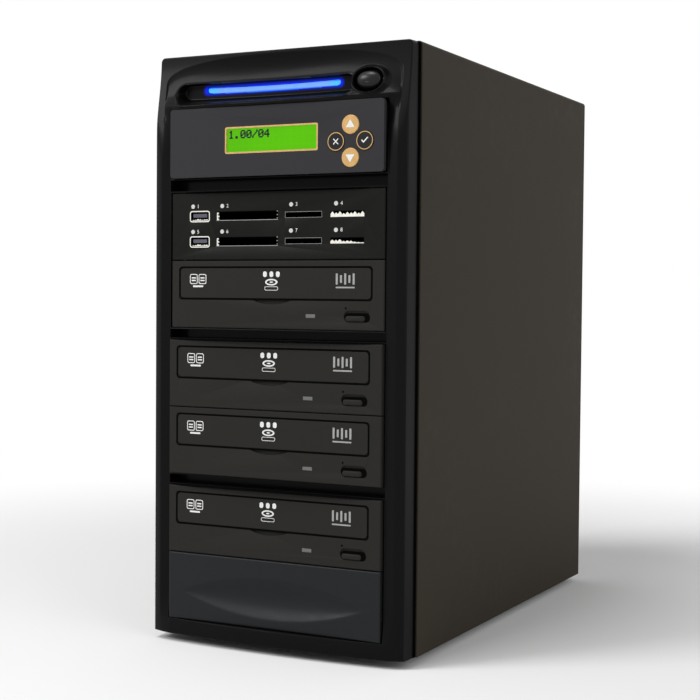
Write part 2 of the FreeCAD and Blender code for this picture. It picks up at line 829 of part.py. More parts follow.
def button_well(body):
    """Oval recess and hole for the power button."""
    level = opening_top + s.button_centre_height
    Outline(body, FRONT, -s.bezel_depth).oval(
        s.button_offset, level, s.button_recess_width / 2, s.button_recess_height / 2, BUTTON_END_SHARE).cut(
        s.bezel_depth + s.button_recess_depth)
    Outline(body, FRONT, 0).oval(
        s.button_offset, level, s.button_width / 2 + s.button_clearance,
        s.button_height / 2 + s.button_clearance, BUTTON_END_SHARE).cut(2 * s.bezel_depth)


def light_bar():
    """Clear bar that carries the light to the front of the header."""
    body = piece("light_bar")
    light_outline(Outline(body, FRONT, s.light_setback)).pad(s.light_depth)


def power_button():
    """Oval push button, its face bevelled all round like a low dome."""
    body = piece("power_button")
    level = opening_top + s.button_centre_height
    Outline(body, FRONT, s.button_front).oval(
        s.button_offset, level, s.button_width / 2, s.button_height / 2, BUTTON_END_SHARE).pad(s.button_length)
    bevel = dress(body, "Chamfer", s.button_dome_depth, lambda edge: at_level(edge, "Y", s.button_front))
    widen(bevel, s.button_dome_reach)


def power_switch():
    """Switch housing behind the header that the power button presses."""
    body = piece("power_switch")
    level = opening_top + s.button_centre_height
    half = s.switch_width / 2
    outline = Outline(body, FRONT, s.bezel_depth)
    outline.rectangle(s.button_offset - half, s.button_offset + half,
                      level - s.switch_height / 2, level + s.switch_height / 2)
    outline.pad(s.switch_depth)


def lcd_panel():
    """Front plate of the control panel with a screen window, four key holes and a skirt behind."""
    body = piece("lcd_panel", panel_bottom)
    half = s.bay_width / 2
    Outline(body, FRONT, 0).rounded(-half, half, 0, s.panel_height, s.panel_corner).pad(s.panel_thickness)
    skirt = Outline(body, FRONT, s.panel_thickness)
    wall = s.panel_wall
    skirt.rectangle(-half + wall, half - wall, wall, s.panel_height - wall)
    skirt.rectangle(-half + 2 * wall, half - 2 * wall, 2 * wall, s.panel_height - 2 * wall)
    skirt.pad(s.panel_skirt_depth)
    holes = Outline(body, FRONT, -s.overrun)
    left = -s.screen_offset - s.screen_width / 2
    low = s.screen_centre_height - s.screen_height / 2
    holes.rectangle(left, left + s.screen_width, low, low + s.screen_height)
    for across, along in key_places():
        holes.circle(across, along, s.key_radius + s.key_clearance)
    holes.cut(s.panel_thickness + 2 * s.overrun)


def key_places():
    """The centres of the upper, lower, left and right keys."""
    centre = s.keys_offset
    level = s.keys_centre_height
    return ((centre, level + s.key_pitch_z), (centre, level - s.key_pitch_z),
            (centre - s.key_pitch_x, level), (centre + s.key_pitch_x, level))


def lcd_display():
    """Display module behind the window."""
    body = piece("lcd_display", panel_bottom)
    left = -s.screen_offset - s.screen_width / 2
    low = s.screen_centre_height - s.screen_height / 2
    Outline(body, FRONT, s.screen_setback).rectangle(
        left, left + s.screen_width, low, low + s.screen_height).pad(s.screen_depth + s.panel_thickness)


def key_board():
    """Circuit board that carries the display and the switches of the keys."""
    body = piece("key_board", panel_bottom)
    half = s.bay_width / 2 - 2 * s.panel_wall
    front = s.screen_setback + s.screen_depth + s.panel_thickness
    Outline(body, FRONT, front).rectangle(
        -half, half, 2 * s.panel_wall, s.panel_height - 2 * s.panel_wall).pad(s.board_thickness)
    switches = Outline(body, FRONT, front - s.key_flange_depth)
    for across, along in key_places():
        switches.rectangle(across - s.key_stem_radius, across + s.key_stem_radius,
                           along - s.key_stem_radius, along + s.key_stem_radius)
    switches.pad(s.key_flange_depth + s.board_thickness)


def key(label, across, along, upright):
    """Round key cap with a bar behind the panel, which lies or stands, and a stem to its switch."""
    body = piece(label, panel_bottom)
    Outline(body, FRONT, -s.key_reach).circle(across, along, s.key_radius).pad(
        s.key_reach + s.panel_thickness + s.key_gap)
    dress(body, "Chamfer", s.key_bevel, lambda edge: at_level(edge, "Y", -s.key_reach))
    flange_front = s.panel_thickness + s.key_gap / 3
    reach = s.key_radius + s.key_clearance + s.key_flange / 2
    wide = s.key_stem_radius if upright else reach
    tall = reach if upright else s.key_stem_radius
    Outline(body, FRONT, flange_front).rectangle(
        across - wide, across + wide, along - tall, along + tall).pad(s.key_flange_depth)
    switch_front = s.screen_setback + s.screen_depth + s.panel_thickness - s.key_flange_depth
    stem = s.key_stem_radius
    Outline(body, FRONT, flange_front).rectangle(across - stem, across + stem, along - stem, along + stem).pad(
        switch_front - flange_front - s.key_travel - s.key_gap / 3)


def controller_board():
    """Copying controller: a board between the cage plates with its chips and drive connectors."""
    body = piece("controller_board", opening_top - s.controller_drop)
    half = drive_width / 2
    front = plate_back + s.flange_width / 2
    Outline(body, TOP, 0).rectangle(-half, half, front, front + s.controller_depth).pad(s.board_thickness)
    chips = Outline(body, TOP, s.board_thickness)
    for across in (-half / 2, half / 3):
        chips.rectangle(across - s.chip_size / 2, across + s.chip_size / 2,
                        front + s.chip_size, front + 2 * s.chip_size)
    chips.pad(s.chip_height)
    connectors = Outline(body, TOP, s.board_thickness)
    back = front + s.controller_depth
    for number in (-2, -1, 0, 1, 2):
        across = half * number / 3
        connectors.rectangle(across - s.connector_width / 2, across + s.connector_width / 2,
                             back - s.connector_depth, back)
    connectors.pad(s.connector_height)


def reader_rows():
    """The levels of the lower and upper row of card slots, from the reader's lower edge."""
    return (s.reader_low_row, s.reader_low_row + s.reader_row_pitch)


def slot_sizes():
    """Place, width, height and depth of each kind of card slot."""
    return {"usb": (-s.usb_offset, s.usb_width, s.usb_height, s.usb_depth),
            "flash": (-s.flash_offset, s.flash_width, s.flash_height, s.flash_depth),
            "sd": (s.sd_offset, s.sd_width, s.sd_height, s.sd_depth),
            "stick": (s.stick_offset, s.stick_width, s.stick_height, s.stick_depth)}


def reader_led_places():
    """The centres of the lamps above the slots."""
    across = (-s.usb_offset - s.usb_width / 3, -s.flash_offset - s.flash_width * 2 / 5,
              s.sd_offset - s.sd_width / 3, s.stick_offset - s.stick_width / 3)
    return [(place, row + s.reader_led_rise) for row in reader_rows() for place in across]


def card_reader_face():
    """Front plate of the card reader with its slots and lamp holes."""
    body = piece("card_reader_face", reader_bottom, s.deep_setback)
    half = s.bay_width / 2
    Outline(body, FRONT, 0).rectangle(-half, half, 0, s.reader_height).pad(s.reader_plate)
    dress(body, "Chamfer", s.drive_edge_round, lambda edge: at_level(edge, "Y", 0))
    holes = Outline(body, FRONT, -s.overrun)
    for row in reader_rows():
        for across, width, height, depth in slot_sizes().values():
            holes.rectangle(across - width / 2, across + width / 2, row - height / 2, row + height / 2)
    holes.cut(s.reader_plate + 2 * s.overrun)


def card_reader_shell():
    """Folded metal shell behind the reader's face."""
    body = piece("card_reader_shell", reader_bottom, s.deep_setback)
    half = drive_width / 2
    low = s.drive_margin
    high = s.reader_height - s.drive_margin
    sheet = s.reader_sheet
    Outline(body, FRONT, s.reader_plate).rectangle(-half, half, low, high).pad(s.reader_depth)
    Outline(body, FRONT, s.reader_plate - s.overrun).rectangle(
        -half + sheet, half - sheet, low + sheet, high - sheet).cut(s.reader_depth + s.overrun - sheet)


def reader_boards():
    """One board under each row of card sockets, held between the sides of the shell."""
    boards = []
    half = drive_width / 2 - s.reader_sheet
    for row in reader_rows():
        board = piece("reader_board", reader_bottom, s.deep_setback, listed=False)
        top = row - s.flash_height / 2
        Outline(board, TOP, top - s.board_thickness).rectangle(
            -half, half, s.reader_plate + s.usb_depth, s.reader_plate + s.reader_depth - s.reader_sheet).pad(
            s.board_thickness)
        boards.append(board)
    group("reader_boards", boards)


def socket(kind, row, wall):
    """One card socket, open at the front."""
    across, width, height, depth = slot_sizes()[kind]
    body = piece(f"{kind}_socket", reader_bottom, s.deep_setback, listed=False)
    half = width / 2
    tall = height / 2
    Outline(body, FRONT, 0).rectangle(across - half, across + half, row - tall, row + tall).pad(depth)
    Outline(body, FRONT, -s.overrun).rectangle(
        across - half + wall, across + half - wall, row - tall + wall, row + tall - wall).cut(
        depth + s.overrun - wall)
    if kind == "usb":
        tongue = Outline(body, FRONT, wall)
        tongue.rectangle(across - half + 2 * wall, across + half - 2 * wall, row, row + s.usb_tongue_height)
        tongue.pad(depth - wall)
    return body


def card_sockets():
    """Sockets of each kind, one in each row."""
    for kind, wall in (("usb", s.usb_wall), ("flash", s.flash_wall)):
        group(f"{kind}_sockets", [socket(kind, row, wall) for row in reader_rows()])
    group("small_card_sockets",
          [socket(kind, row, s.socket_wall) for kind in ("sd", "stick") for row in reader_rows()])


def reader_leds():
    """Small round lamps above the slots."""
    lamps = []
    for across, along in reader_led_places():
        lamp = piece("reader_led", reader_bottom, s.deep_setback, listed=False)
        Outline(lamp, FRONT, -s.reader_led_reach).circle(across, along, s.reader_led_radius).pad(
            s.reader_led_reach)
        lamps.append(lamp)
    group("reader_leds", lamps)


def drive_bezel(number):
    """Front plate of a disc drive with its door opening, finger scoop, lamp and eject recess."""
    body = piece(f"drive_{number}_bezel", drive_bottoms[number], drive_setbacks[number])
    half = s.bay_width / 2
    Outline(body, FRONT, 0).rectangle(-half, half, 0, s.drive_height).pad(s.drive_plate)
    dress(body, "Chamfer", s.drive_edge_round, lambda edge: at_level(edge, "Y", 0))
    half_door = door_width / 2 + s.door_clearance
    door_low = s.door_bottom - s.door_clearance
    door_high = s.door_bottom + s.door_height + s.door_clearance
    Outline(body, FRONT, -s.overrun).rounded(
        -half_door - s.door_offset, half_door - s.door_offset, door_low, door_high,
        s.door_radius + s.door_clearance).cut(s.drive_plate + 2 * s.overrun)
    half_finger = s.finger_width / 2
    finger = Outline(body, FRONT, -s.overrun)
    finger.path((-half_finger - s.finger_offset, door_low + s.overrun),
                (-half_finger - s.finger_offset, door_low - s.overrun / 4),
                (-s.finger_offset, door_low - s.finger_drop, True),
                (half_finger - s.finger_offset, door_low - s.overrun / 4),
                (half_finger - s.finger_offset, door_low + s.overrun))
    finger.cut(s.finger_depth + s.overrun)
    half_recess = s.eject_recess_width / 2
    tall = s.eject_recess_height / 2
    Outline(body, FRONT, -s.overrun).rounded(
        s.eject_offset - half_recess, s.eject_offset + half_recess, s.eject_recess_rise - tall,
        s.eject_recess_rise + tall, tall * PILL_SHARE).cut(s.eject_recess_depth + s.overrun)
    holes = Outline(body, FRONT, -s.overrun)
    width = s.eject_width / 2 + s.eject_clearance
    height = s.eject_height / 2 + s.eject_clearance
    holes.rounded(s.eject_offset - width, s.eject_offset + width, s.eject_rise - height,
                  s.eject_rise + height, height * PILL_SHARE)
    drive_led_outline(holes)
    holes.cut(s.drive_plate + 2 * s.overrun)


def drive_led_outline(outline):
    """The front of a drive's lamp."""
    width = s.drive_led_width / 2
    height = s.drive_led_height / 2
    outline.rectangle(s.drive_led_offset - width, s.drive_led_offset + width,
                      s.drive_led_rise - height, s.drive_led_rise + height)
    return outline


def drive_leds():
    """Light guides of the four drive lamps."""
    lamps = []
    for number in DRIVES:
        lamp = piece("drive_led", drive_bottoms[number], drive_setbacks[number], listed=False)
        drive_led_outline(Outline(lamp, FRONT, 0)).pad(s.drive_led_depth)
        lamps.append(lamp)
    group("drive_leds", lamps)


def drive_case(number):
    """Folded metal case of a drive, open at the front where the tray comes out."""
    body = piece(f"drive_{number}_case", drive_bottoms[number], drive_setbacks[number])
    half = drive_width / 2
    low = s.drive_margin
    high = s.drive_height - s.drive_margin
    sheet = s.drive_sheet
    Outline(body, FRONT, s.drive_plate).rectangle(-half, half, low, high).pad(s.drive_depth)
    Outline(body, FRONT, s.drive_plate - s.overrun).rectangle(
        -half + sheet, half - sheet, low + sheet, high - sheet).cut(s.drive_depth + s.overrun - sheet)


def drive_deck(number):
    """Plastic loader frame with tray guides, the spindle motor and the optical pickup."""
    body = piece("drive_deck", drive_bottoms[number], drive_setbacks[number], listed=False)
    half = drive_width / 2 - s.drive_sheet
    floor = s.drive_margin + s.drive_sheet
    top = s.tray_rise - s.guide_clearance
    rails = Outline(body, TOP, floor)
    for side in (-1, 1):
        rails.rectangle(*sorted((half * side, (half - s.guide_width) * side), key=lambda item: item.value),
                        s.guide_front, s.guide_front + s.guide_length)
    rails.pad(top - floor)
    Outline(body, TOP, s.deck_rise).rectangle(
        -half, half, s.guide_front + s.guide_width, s.guide_front + s.guide_length).pad(s.deck_thickness)
    deck_top = s.deck_rise + s.deck_thickness
    motor = s.motor_half
    Outline(body, TOP, s.deck_rise).rectangle(
        -motor, motor, s.disc_setback - motor, s.disc_setback + motor).pad(s.deck_thickness + s.motor_height)
    pickup = Outline(body, TOP, deck_top)
    pickup_front = s.disc_setback + s.motor_half + s.pickup_length / 2
    pickup.rectangle(-s.pickup_width / 2, s.pickup_width / 2, pickup_front, pickup_front + s.pickup_length)
    pickup.pad(s.pickup_height)
    Outline(body, TOP, deck_top).circle(0, s.disc_setback, s.spindle_radius + s.spindle_clearance).cut(
        s.motor_height + s.overrun)
    return body


def spindle_levels():
    """The top of the motor and the underside of the turntable."""
    motor_top = s.deck_rise + s.deck_thickness + s.motor_height
    return motor_top, motor_top + s.spindle_gap


def drive_turntable(number):
    """Turntable with its centring hub and the shaft that turns in the motor."""
    body = piece(f"drive_{number}_turntable", drive_bottoms[number], drive_setbacks[number])
    motor_top, under = spindle_levels()
    Outline(body, TOP, under).circle(0, s.disc_setback, s.turntable_radius).pad(s.turntable_height)
    Outline(body, TOP, under).circle(0, s.disc_setback, s.clamp_hub_radius).pad(
        s.turntable_height + s.clamp_hub_height)
    Outline(body, TOP, motor_top - s.spindle_length).circle(0, s.disc_setback, s.spindle_radius).pad(
        s.spindle_length + s.spindle_gap + s.turntable_height)


def drive_tray(number):
    """Disc tray with two nested wells and the slot that the turntable and pickup reach through."""
    body = piece(f"drive_{number}_tray", drive_bottoms[number], drive_setbacks[number])
    half = tray_width / 2
    top = s.tray_rise + s.tray_thickness
    front = s.door_thickness
    Outline(body, TOP, s.tray_rise).rectangle(-half, half, front, front + s.tray_length).pad(s.tray_thickness)
    dress(body, "Fillet", s.tray_radius,
          lambda edge: edge.BoundBox.ZLength > s.tray_thickness.value / 2
          and edge.BoundBox.YMin > s.disc_setback.value)
    well = top - s.disc_well_depth
    Outline(body, TOP, well).circle(0, s.disc_setback, s.disc_well_radius).cut(s.tray_thickness)
    Outline(body, TOP, well - s.small_well_depth).circle(0, s.disc_setback, s.small_well_radius).cut(
        s.tray_thickness)
    slot = s.tray_slot_width / 2
    start = s.disc_setback - s.tray_slot_front
    end = start + s.tray_slot_length
    Outline(body, TOP, s.tray_rise - s.overrun).path(
        (-slot, start + slot), (0, start, True), (slot, start + slot), (slot, end), (-slot, end)).cut(
        s.tray_thickness + 2 * s.overrun)
    under = Outline(body, TOP, s.tray_rise - s.overrun)
    under.rectangle(-half + s.tray_radius, -slot - s.tray_radius, s.disc_setback - s.disc_well_radius / 2,
                    s.disc_setback + s.disc_well_radius / 2)
    under.rectangle(slot + s.tray_radius, half - s.tray_radius, s.disc_setback - s.disc_well_radius / 2,
                    s.disc_setback + s.disc_well_radius / 2)
    under.cut(s.overrun + s.small_well_depth)


def drive_tray_door(number):
    """Door plate on the front of the tray."""
    body = piece(f"drive_{number}_tray_door", drive_bottoms[number], drive_setbacks[number])
    half = door_width / 2
    Outline(body, FRONT, 0).rounded(
        -half - s.door_offset, half - s.door_offset, s.door_bottom, s.door_bottom + s.door_height,
        s.door_radius).pad(s.door_thickness)
    dress(body, "Chamfer", s.door_bevel / 2, lambda edge: at_level(edge, "Y", 0))


def eject_button(number):
    """Eject button of a drive, with a flange behind the front plate."""
    body = piece(f"drive_{number}_eject_button", drive_bottoms[number], drive_setbacks[number])
    width = s.eject_width / 2
    height = s.eject_height / 2
    Outline(body, FRONT, -s.eject_reach).rounded(
        s.eject_offset - width, s.eject_offset + width, s.eject_rise - height, s.eject_rise + height,
        height * PILL_SHARE).pad(s.eject_length + s.eject_reach)
    flange = Outline(body, FRONT, s.drive_plate + s.eject_clearance)
    flange.rectangle(s.eject_offset - width - s.eject_flange, s.eject_offset + width + s.eject_flange,
                     s.eject_rise - height / 2, s.eject_rise + height / 2)
    flange.pad(s.eject_flange)


def bay_blank():
    """Blank for an unused bay, with a shallow oval scoop and two clips."""
    body = piece("bay_blank", blank_bottom)
    half = s.bay_width / 2
    Outline(body, FRONT, 0).rectangle(-half, half, 0, s.blank_height).pad(s.blank_plate)
    dress(body, "Chamfer", s.blank_bevel,
          lambda edge: at_level(edge, "Y", 0) and not at_level(edge, "Z", 0))
    Outline(body, FRONT, -s.overrun).oval(
        0, s.scoop_rise, s.scoop_half_width - s.scoop_bevel, s.scoop_half_height - s.scoop_bevel,
        SCOOP_END_SHARE).cut(s.overrun + s.scoop_depth)
    bevel = dress(body, "Chamfer", s.scoop_depth * (1 - SCOOP_FLOOR_SHARE),
                  lambda edge: at_level(edge, "Y", 0) and edge.BoundBox.ZMin > s.blank_bevel.value
                  and abs(edge.BoundBox.XMax) < half.value - s.blank_bevel.value * 2)
    widen(bevel, s.scoop_bevel)
    clips = Outline(body, FRONT, s.blank_plate)
    inner = drive_width / 2
    middle = s.blank_height / 2
    for side in (-1, 1):
        clips.rectangle(*sorted((inner * side, (inner - s.clip_thickness) * side),
                                key=lambda item: item.value),
                        middle - s.clip_height / 2, middle + s.clip_height / 2)
    clips.pad(s.bezel_depth + s.clip_depth)


def fan_places():
    """Centre and rear face of the fan on the rear panel and of the one in the supply."""
    supply_middle = supply_bottom + s.supply_height / 2
    return ((as_size(0), s.case_fan_height, panel_back - s.case_sheet),
            (-s.supply_fan_offset, supply_middle, panel_back - s.case_sheet - s.supply_sheet))


def fan_frames():
    """Square frames of both fans, with four struts that carry the motor."""
    frames = []
    for across, along, back in fan_places():
        body = piece("fan_frame", listed=False)
        front = back - s.fan_depth
        half = s.fan_size / 2
        Outline(body, FRONT, front).rectangle(across - half, across + half, along - half, along + half).pad(
            s.fan_depth)
        Outline(body, FRONT, front - s.overrun).circle(across, along, s.fan_bore_radius).cut(
            s.fan_depth + 2 * s.overrun)
        struts = Outline(body, FRONT, front)
        bar = s.fan_strut_width / 2
        reach = s.fan_bore_radius + s.overrun / 2
        struts.path((across - reach, along - bar), (across - bar, along - bar), (across - bar, along - reach),
                    (across + bar, along - reach), (across + bar, along - bar), (across + reach, along - bar),
                    (across + reach, along + bar), (across + bar, along + bar), (across + bar, along + reach),
                    (across - bar, along + reach), (across - bar, along + bar), (across - reach, along + bar))
        struts.pad(s.fan_motor_depth - s.overrun)
        Outline(body, FRONT, front).circle(across, along, s.fan_hub_radius).pad(s.fan_motor_depth)
        Outline(body, FRONT, front + s.overrun).circle(
            across, along, s.spindle_radius + s.spindle_clearance).cut(s.fan_depth)
        frames.append(body)
    group("fan_frames", frames)


def fan_rotor(label, across, along, back):
    """Rotor with a cup hub, a shaft and seven twisted blades."""
    body = piece(label, along, back)
    body.setExpression("Placement.Base.x", across.text)
    rear = -s.fan_rear_gap
    front = rear - s.fan_hub_depth
    Outline(body, FRONT, front).circle(0, 0, s.fan_hub_radius).pad(s.fan_hub_depth)
    shaft = Outline(body, FRONT, s.overrun * 2 - s.fan_depth)
    shaft.circle(0, 0, s.spindle_radius).pad(s.fan_depth - 2 * s.overrun + front)
    doc.recompute()
    middle = (front + rear) / 2
    half = s.fan_blade_half
    thick = s.fan_blade_thickness / 2
    tall = half * FAN_BLADE_RISE_SHARE
    blade = Outline(body, SIDE, s.fan_hub_radius - s.overrun).path(
        (middle - half, -tall - thick), (middle + half, tall - thick),
        (middle + half, tall + thick), (middle - half, thick - tall)).pad(
        s.fan_blade_radius - s.fan_hub_radius + s.overrun)
    doc.recompute()
    pattern(body, blade, "Y_Axis", FAN_BLADES)


def psu_case():
    """Folded case of the power supply, open towards its fan at the back."""
    body = piece("psu_case")
    half = s.supply_width / 2
    high = supply_bottom + s.supply_height
    sheet = s.supply_sheet
    Outline(body, FRONT, supply_front).rectangle(-half, half, supply_bottom, high).pad(s.supply_depth)
    Outline(body, FRONT, supply_front + sheet).rectangle(
        -half + sheet, half - sheet, supply_bottom + sheet, high - sheet).cut(s.supply_depth - 2 * sheet)
    across, along, back = fan_places()[1]
    grille(body, across, along, back)
    rear = Outline(body, FRONT, back - s.overrun)
    width = s.inlet_width / 2 + s.inlet_wall
    height = s.inlet_height / 2 + s.inlet_wall
    level = supply_bottom + s.inlet_rise
    rear.rectangle(s.inlet_offset - width, s.inlet_offset + width, level - height, level + height)
    width = s.rocker_width / 2 + s.rocker_wall
    height = s.rocker_height / 2 + s.rocker_wall
    level = supply_bottom + s.rocker_rise
    rear.rectangle(s.inlet_offset - height, s.inlet_offset + height, level - width, level + width)
    rear.cut(sheet + 2 * s.overrun)


def power_inlet():
    """Mains inlet with three pins in an open well and a flange on the supply's rear face."""
    body = piece("power_inlet")
    level = supply_bottom + s.inlet_rise
    face = panel_back - s.case_sheet
    wide = s.inlet_width / 2
    tall = s.inlet_height / 2
    outer_wide = wide + s.inlet_wall
    outer_tall = tall + s.inlet_wall
    Outline(body, FRONT, face - s.inlet_depth - s.inlet_wall).rectangle(
        s.inlet_offset - outer_wide, s.inlet_offset + outer_wide, level - outer_tall,
        level + outer_tall).pad(s.inlet_depth + s.inlet_wall)
    flange_wide = outer_wide + s.inlet_flange
    flange_tall = outer_tall + s.inlet_flange
    Outline(body, FRONT, face).rounded(
        s.inlet_offset - flange_wide, s.inlet_offset + flange_wide, level - flange_tall,
        level + flange_tall, s.inlet_flange).pad(s.inlet_flange_depth)
    Outline(body, FRONT, face - s.inlet_depth).path(
        (s.inlet_offset - wide, level - tall), (s.inlet_offset + wide, level - tall),
        (s.inlet_offset + wide, level + tall / 3), (s.inlet_offset + wide * 2 / 3, level + tall),
        (s.inlet_offset - wide * 2 / 3, level + tall), (s.inlet_offset - wide, level + tall / 3)).cut(
        s.inlet_depth + s.inlet_flange_depth + s.overrun)
    pins = Outline(body, FRONT, face - s.inlet_depth - s.inlet_wall)
    for number, lift in ((-1, -1), (0, 1), (1, -1)):
        across = s.inlet_offset + s.inlet_pin_pitch * number
        along = level + s.inlet_pin_offset * lift
        pins.rectangle(across - s.inlet_pin_width / 2, across + s.inlet_pin_width / 2,
                       along - s.inlet_pin_height / 2, along + s.inlet_pin_height / 2)
    pins.pad(s.inlet_pin_length + s.inlet_wall)


def switch_housing():
    """Housing of the mains rocker switch."""
    body = piece("switch_housing")
    level = supply_bottom + s.rocker_rise
    face = panel_back - s.case_sheet
    wide = s.rocker_height / 2 + s.rocker_wall
    tall = s.rocker_width / 2 + s.rocker_wall
    Outline(body, FRONT, face - s.rocker_housing_depth).rectangle(
        s.inlet_offset - wide, s.inlet_offset + wide, level - tall, level + tall).pad(s.rocker_housing_depth)
    Outline(body, FRONT, face).rectangle(
        s.inlet_offset - wide - s.rocker_wall, s.inlet_offset + wide + s.rocker_wall,
        level - tall - s.rocker_wall, level + tall + s.rocker_wall).pad(s.inlet_flange_depth)
    Outline(body, FRONT, face - s.rocker_housing_depth + s.rocker_wall).rectangle(
        s.inlet_offset - s.rocker_height / 2, s.inlet_offset + s.rocker_height / 2,
        level - s.rocker_width / 2, level + s.rocker_width / 2).cut(
        s.rocker_housing_depth + s.inlet_flange_depth + s.overrun)
    centre, pivot, level = rocker_pin()
    reach = s.rocker_width / 2 + s.rocker_pin_reach + s.spindle_clearance
    Outline(body, TOP, level - reach).circle(
        centre, pivot, s.rocker_pin_radius + s.spindle_clearance).cut(2 * reach)


def rocker_pin():
    """Where the rocker turns: across, along and up."""
    face = panel_back - s.case_sheet + s.inlet_flange_depth
    return s.inlet_offset, face - s.rocker_pin_depth, supply_bottom + s.rocker_rise


def rocker_switch():
    """Rocker of the mains switch, its face bent in a shallow vee, on a pin between the housing's walls."""
    body = piece("rocker_switch")
    centre, pivot, level = rocker_pin()
    face = pivot + s.rocker_pin_depth
    half = s.rocker_height / 2 - s.rocker_clearance
    tall = s.rocker_width / 2 - s.rocker_clearance
    outline = Outline(body, TOP, level - tall)
    outline.path((centre - half, pivot), (centre - half * ROCKER_HIGH_SHARE, face + s.rocker_reach),
                 (centre, face - s.rocker_tilt_reach / 2),
                 (centre + half * ROCKER_LOW_SHARE, face - s.rocker_tilt_reach), (centre + half, pivot),
                 (centre + half / 2, face - s.rocker_depth), (centre - half / 2, face - s.rocker_depth))
    outline.pad(2 * tall)
    reach = s.rocker_width / 2 + s.rocker_pin_reach
    Outline(body, TOP, level - reach).circle(centre, pivot, s.rocker_pin_radius).pad(2 * reach)


def rear_screws():
    """Screws that hold the supply and the case fan to the rear panel."""
    screws = []
    half = s.fan_size / 2 - s.screw_inset
    places = [(half * side, s.case_fan_height + half * lift) for side in (-1, 1) for lift in (-1, 1)]
    for across, along in places:
        screw = piece("rear_screw", listed=False)
        flat = s.screw_radius * HEXAGON_SHARE
        half_flat = s.screw_radius / 2
        Outline(screw, FRONT, panel_back).path(
            (across - s.screw_radius, along), (across - half_flat, along - flat),
            (across + half_flat, along - flat), (across + s.screw_radius, along),
            (across + half_flat, along + flat), (across - half_flat, along + flat)).pad(s.screw_head)
        screws.append(screw)
    group("rear_screws", screws)


def drive_cables():
    """Flat cable from the controller down the backs of the drives, with a plug into each one."""
    body = piece("drive_cables")
    near = s.drive_plate + s.drive_depth
    strip = near + s.deep_setback + s.plug_depth
    board = opening_top - s.controller_drop + s.board_thickness
    board_back = plate_back + s.flange_width / 2 + s.controller_depth
    half = s.cable_width / 2
    low = drive_4_bottom + s.drive_height / 2 - s.plug_height / 2
    high = board + s.connector_height
    cable = Outline(body, SIDE, s.cable_offset - half)
    cable.path((strip, low), (strip + s.cable_thickness, low), (strip + s.cable_thickness, high),
               (board_back, high), (board_back, high - s.cable_thickness), (strip, high - s.cable_thickness))
    cable.pad(s.cable_width)
    plugs = Outline(body, SIDE, s.cable_offset - half)
    for number in DRIVES:
        bottom = drive_bottoms[number] + s.drive_height / 2 - s.plug_height / 2
        plugs.rectangle(near + drive_setbacks[number], strip + s.cable_thickness / 2,
                        bottom, bottom + s.plug_height)
    plugs.pad(s.cable_width)


def build():
    """Every piece of the tower."""
    chassis_frame()
    outer_cover()
    rubber_feet()
    drive_cage("drive_cage_left", -1)
    drive_cage("drive_cage_right", 1)
    front_bezel()
    light_bar()
    power_button()
    power_switch()
    lcd_panel()
    lcd_display()
    key_board()
    keys = (("key_up", False), ("key_down", False), ("key_back", True), ("key_ok", True))
    for (label, upright), (across, along) in zip(keys, key_places()):
        key(label, across, along, upright)
    controller_board()
    card_reader_face()
    card_reader_shell()
    reader_boards()
    card_sockets()
    reader_leds()
    for number in DRIVES:
        drive_bezel(number)
        drive_case(number)
        drive_tray(number)
        drive_tray_door(number)
        drive_turntable(number)
        eject_button(number)
    drive_leds()
    group("drive_decks", [drive_deck(number) for number in DRIVES])
    bay_blank()
    fan_frames()
    for label, place in zip(("fan_rotor", "psu_fan_rotor"), fan_places()):
        fan_rotor(label, *place)
    psu_case()
    power_inlet()
    switch_housing()
    rocker_switch()
    rear_screws()
    drive_cables()


def faults():
    """What has failed: an object's state, a cut that takes nothing away or a shape that isn't sound."""
    found = []
    for item in doc.Objects:
        if "Invalid" in item.State or "Error" in item.State:
            found.append(f"{item.Label} is {item.State}")
        if item.TypeId.startswith(("PartDesign::Pocket", "PartDesign::Subtractive")):
            before = item.BaseFeature.Shape.Volume
            if not item.Shape.Volume < before * (1 - 1e-7):
                found.append(f"{item.Label} of {item.getParentGeoFeatureGroup().Label} cuts nothing")
    for node in nodes:
        if node.Shape.isNull() or not node.Shape.isValid():
            found.append(f"{node.Label} has no sound shape")
    return found


build()
doc.recompute()
problems = faults()
if problems:
    sys.exit("\n".join(problems))
os.makedirs("parts", exist_ok=True)
for node in nodes:
    node.Shape.exportStep(f"parts/{node.Label}.step")
print(len(nodes), "nodes written")
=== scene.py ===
"""Looks of a disc copying tower: moulded front, finishes, keys, display, prints, lamps and the stage.

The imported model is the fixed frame, and every piece here rides one of its bodies. Shapes are drawn in
millimetres and become metres when their mesh is made, in the frame's own axes: X across, Y into the case,
Z up.
"""
import json
import math
from contextlib import contextmanager

import bmesh
import bpy
import numpy as np
from bpy.props import FloatProperty, FloatVectorProperty, PointerProperty
from mathutils import Matrix, Vector

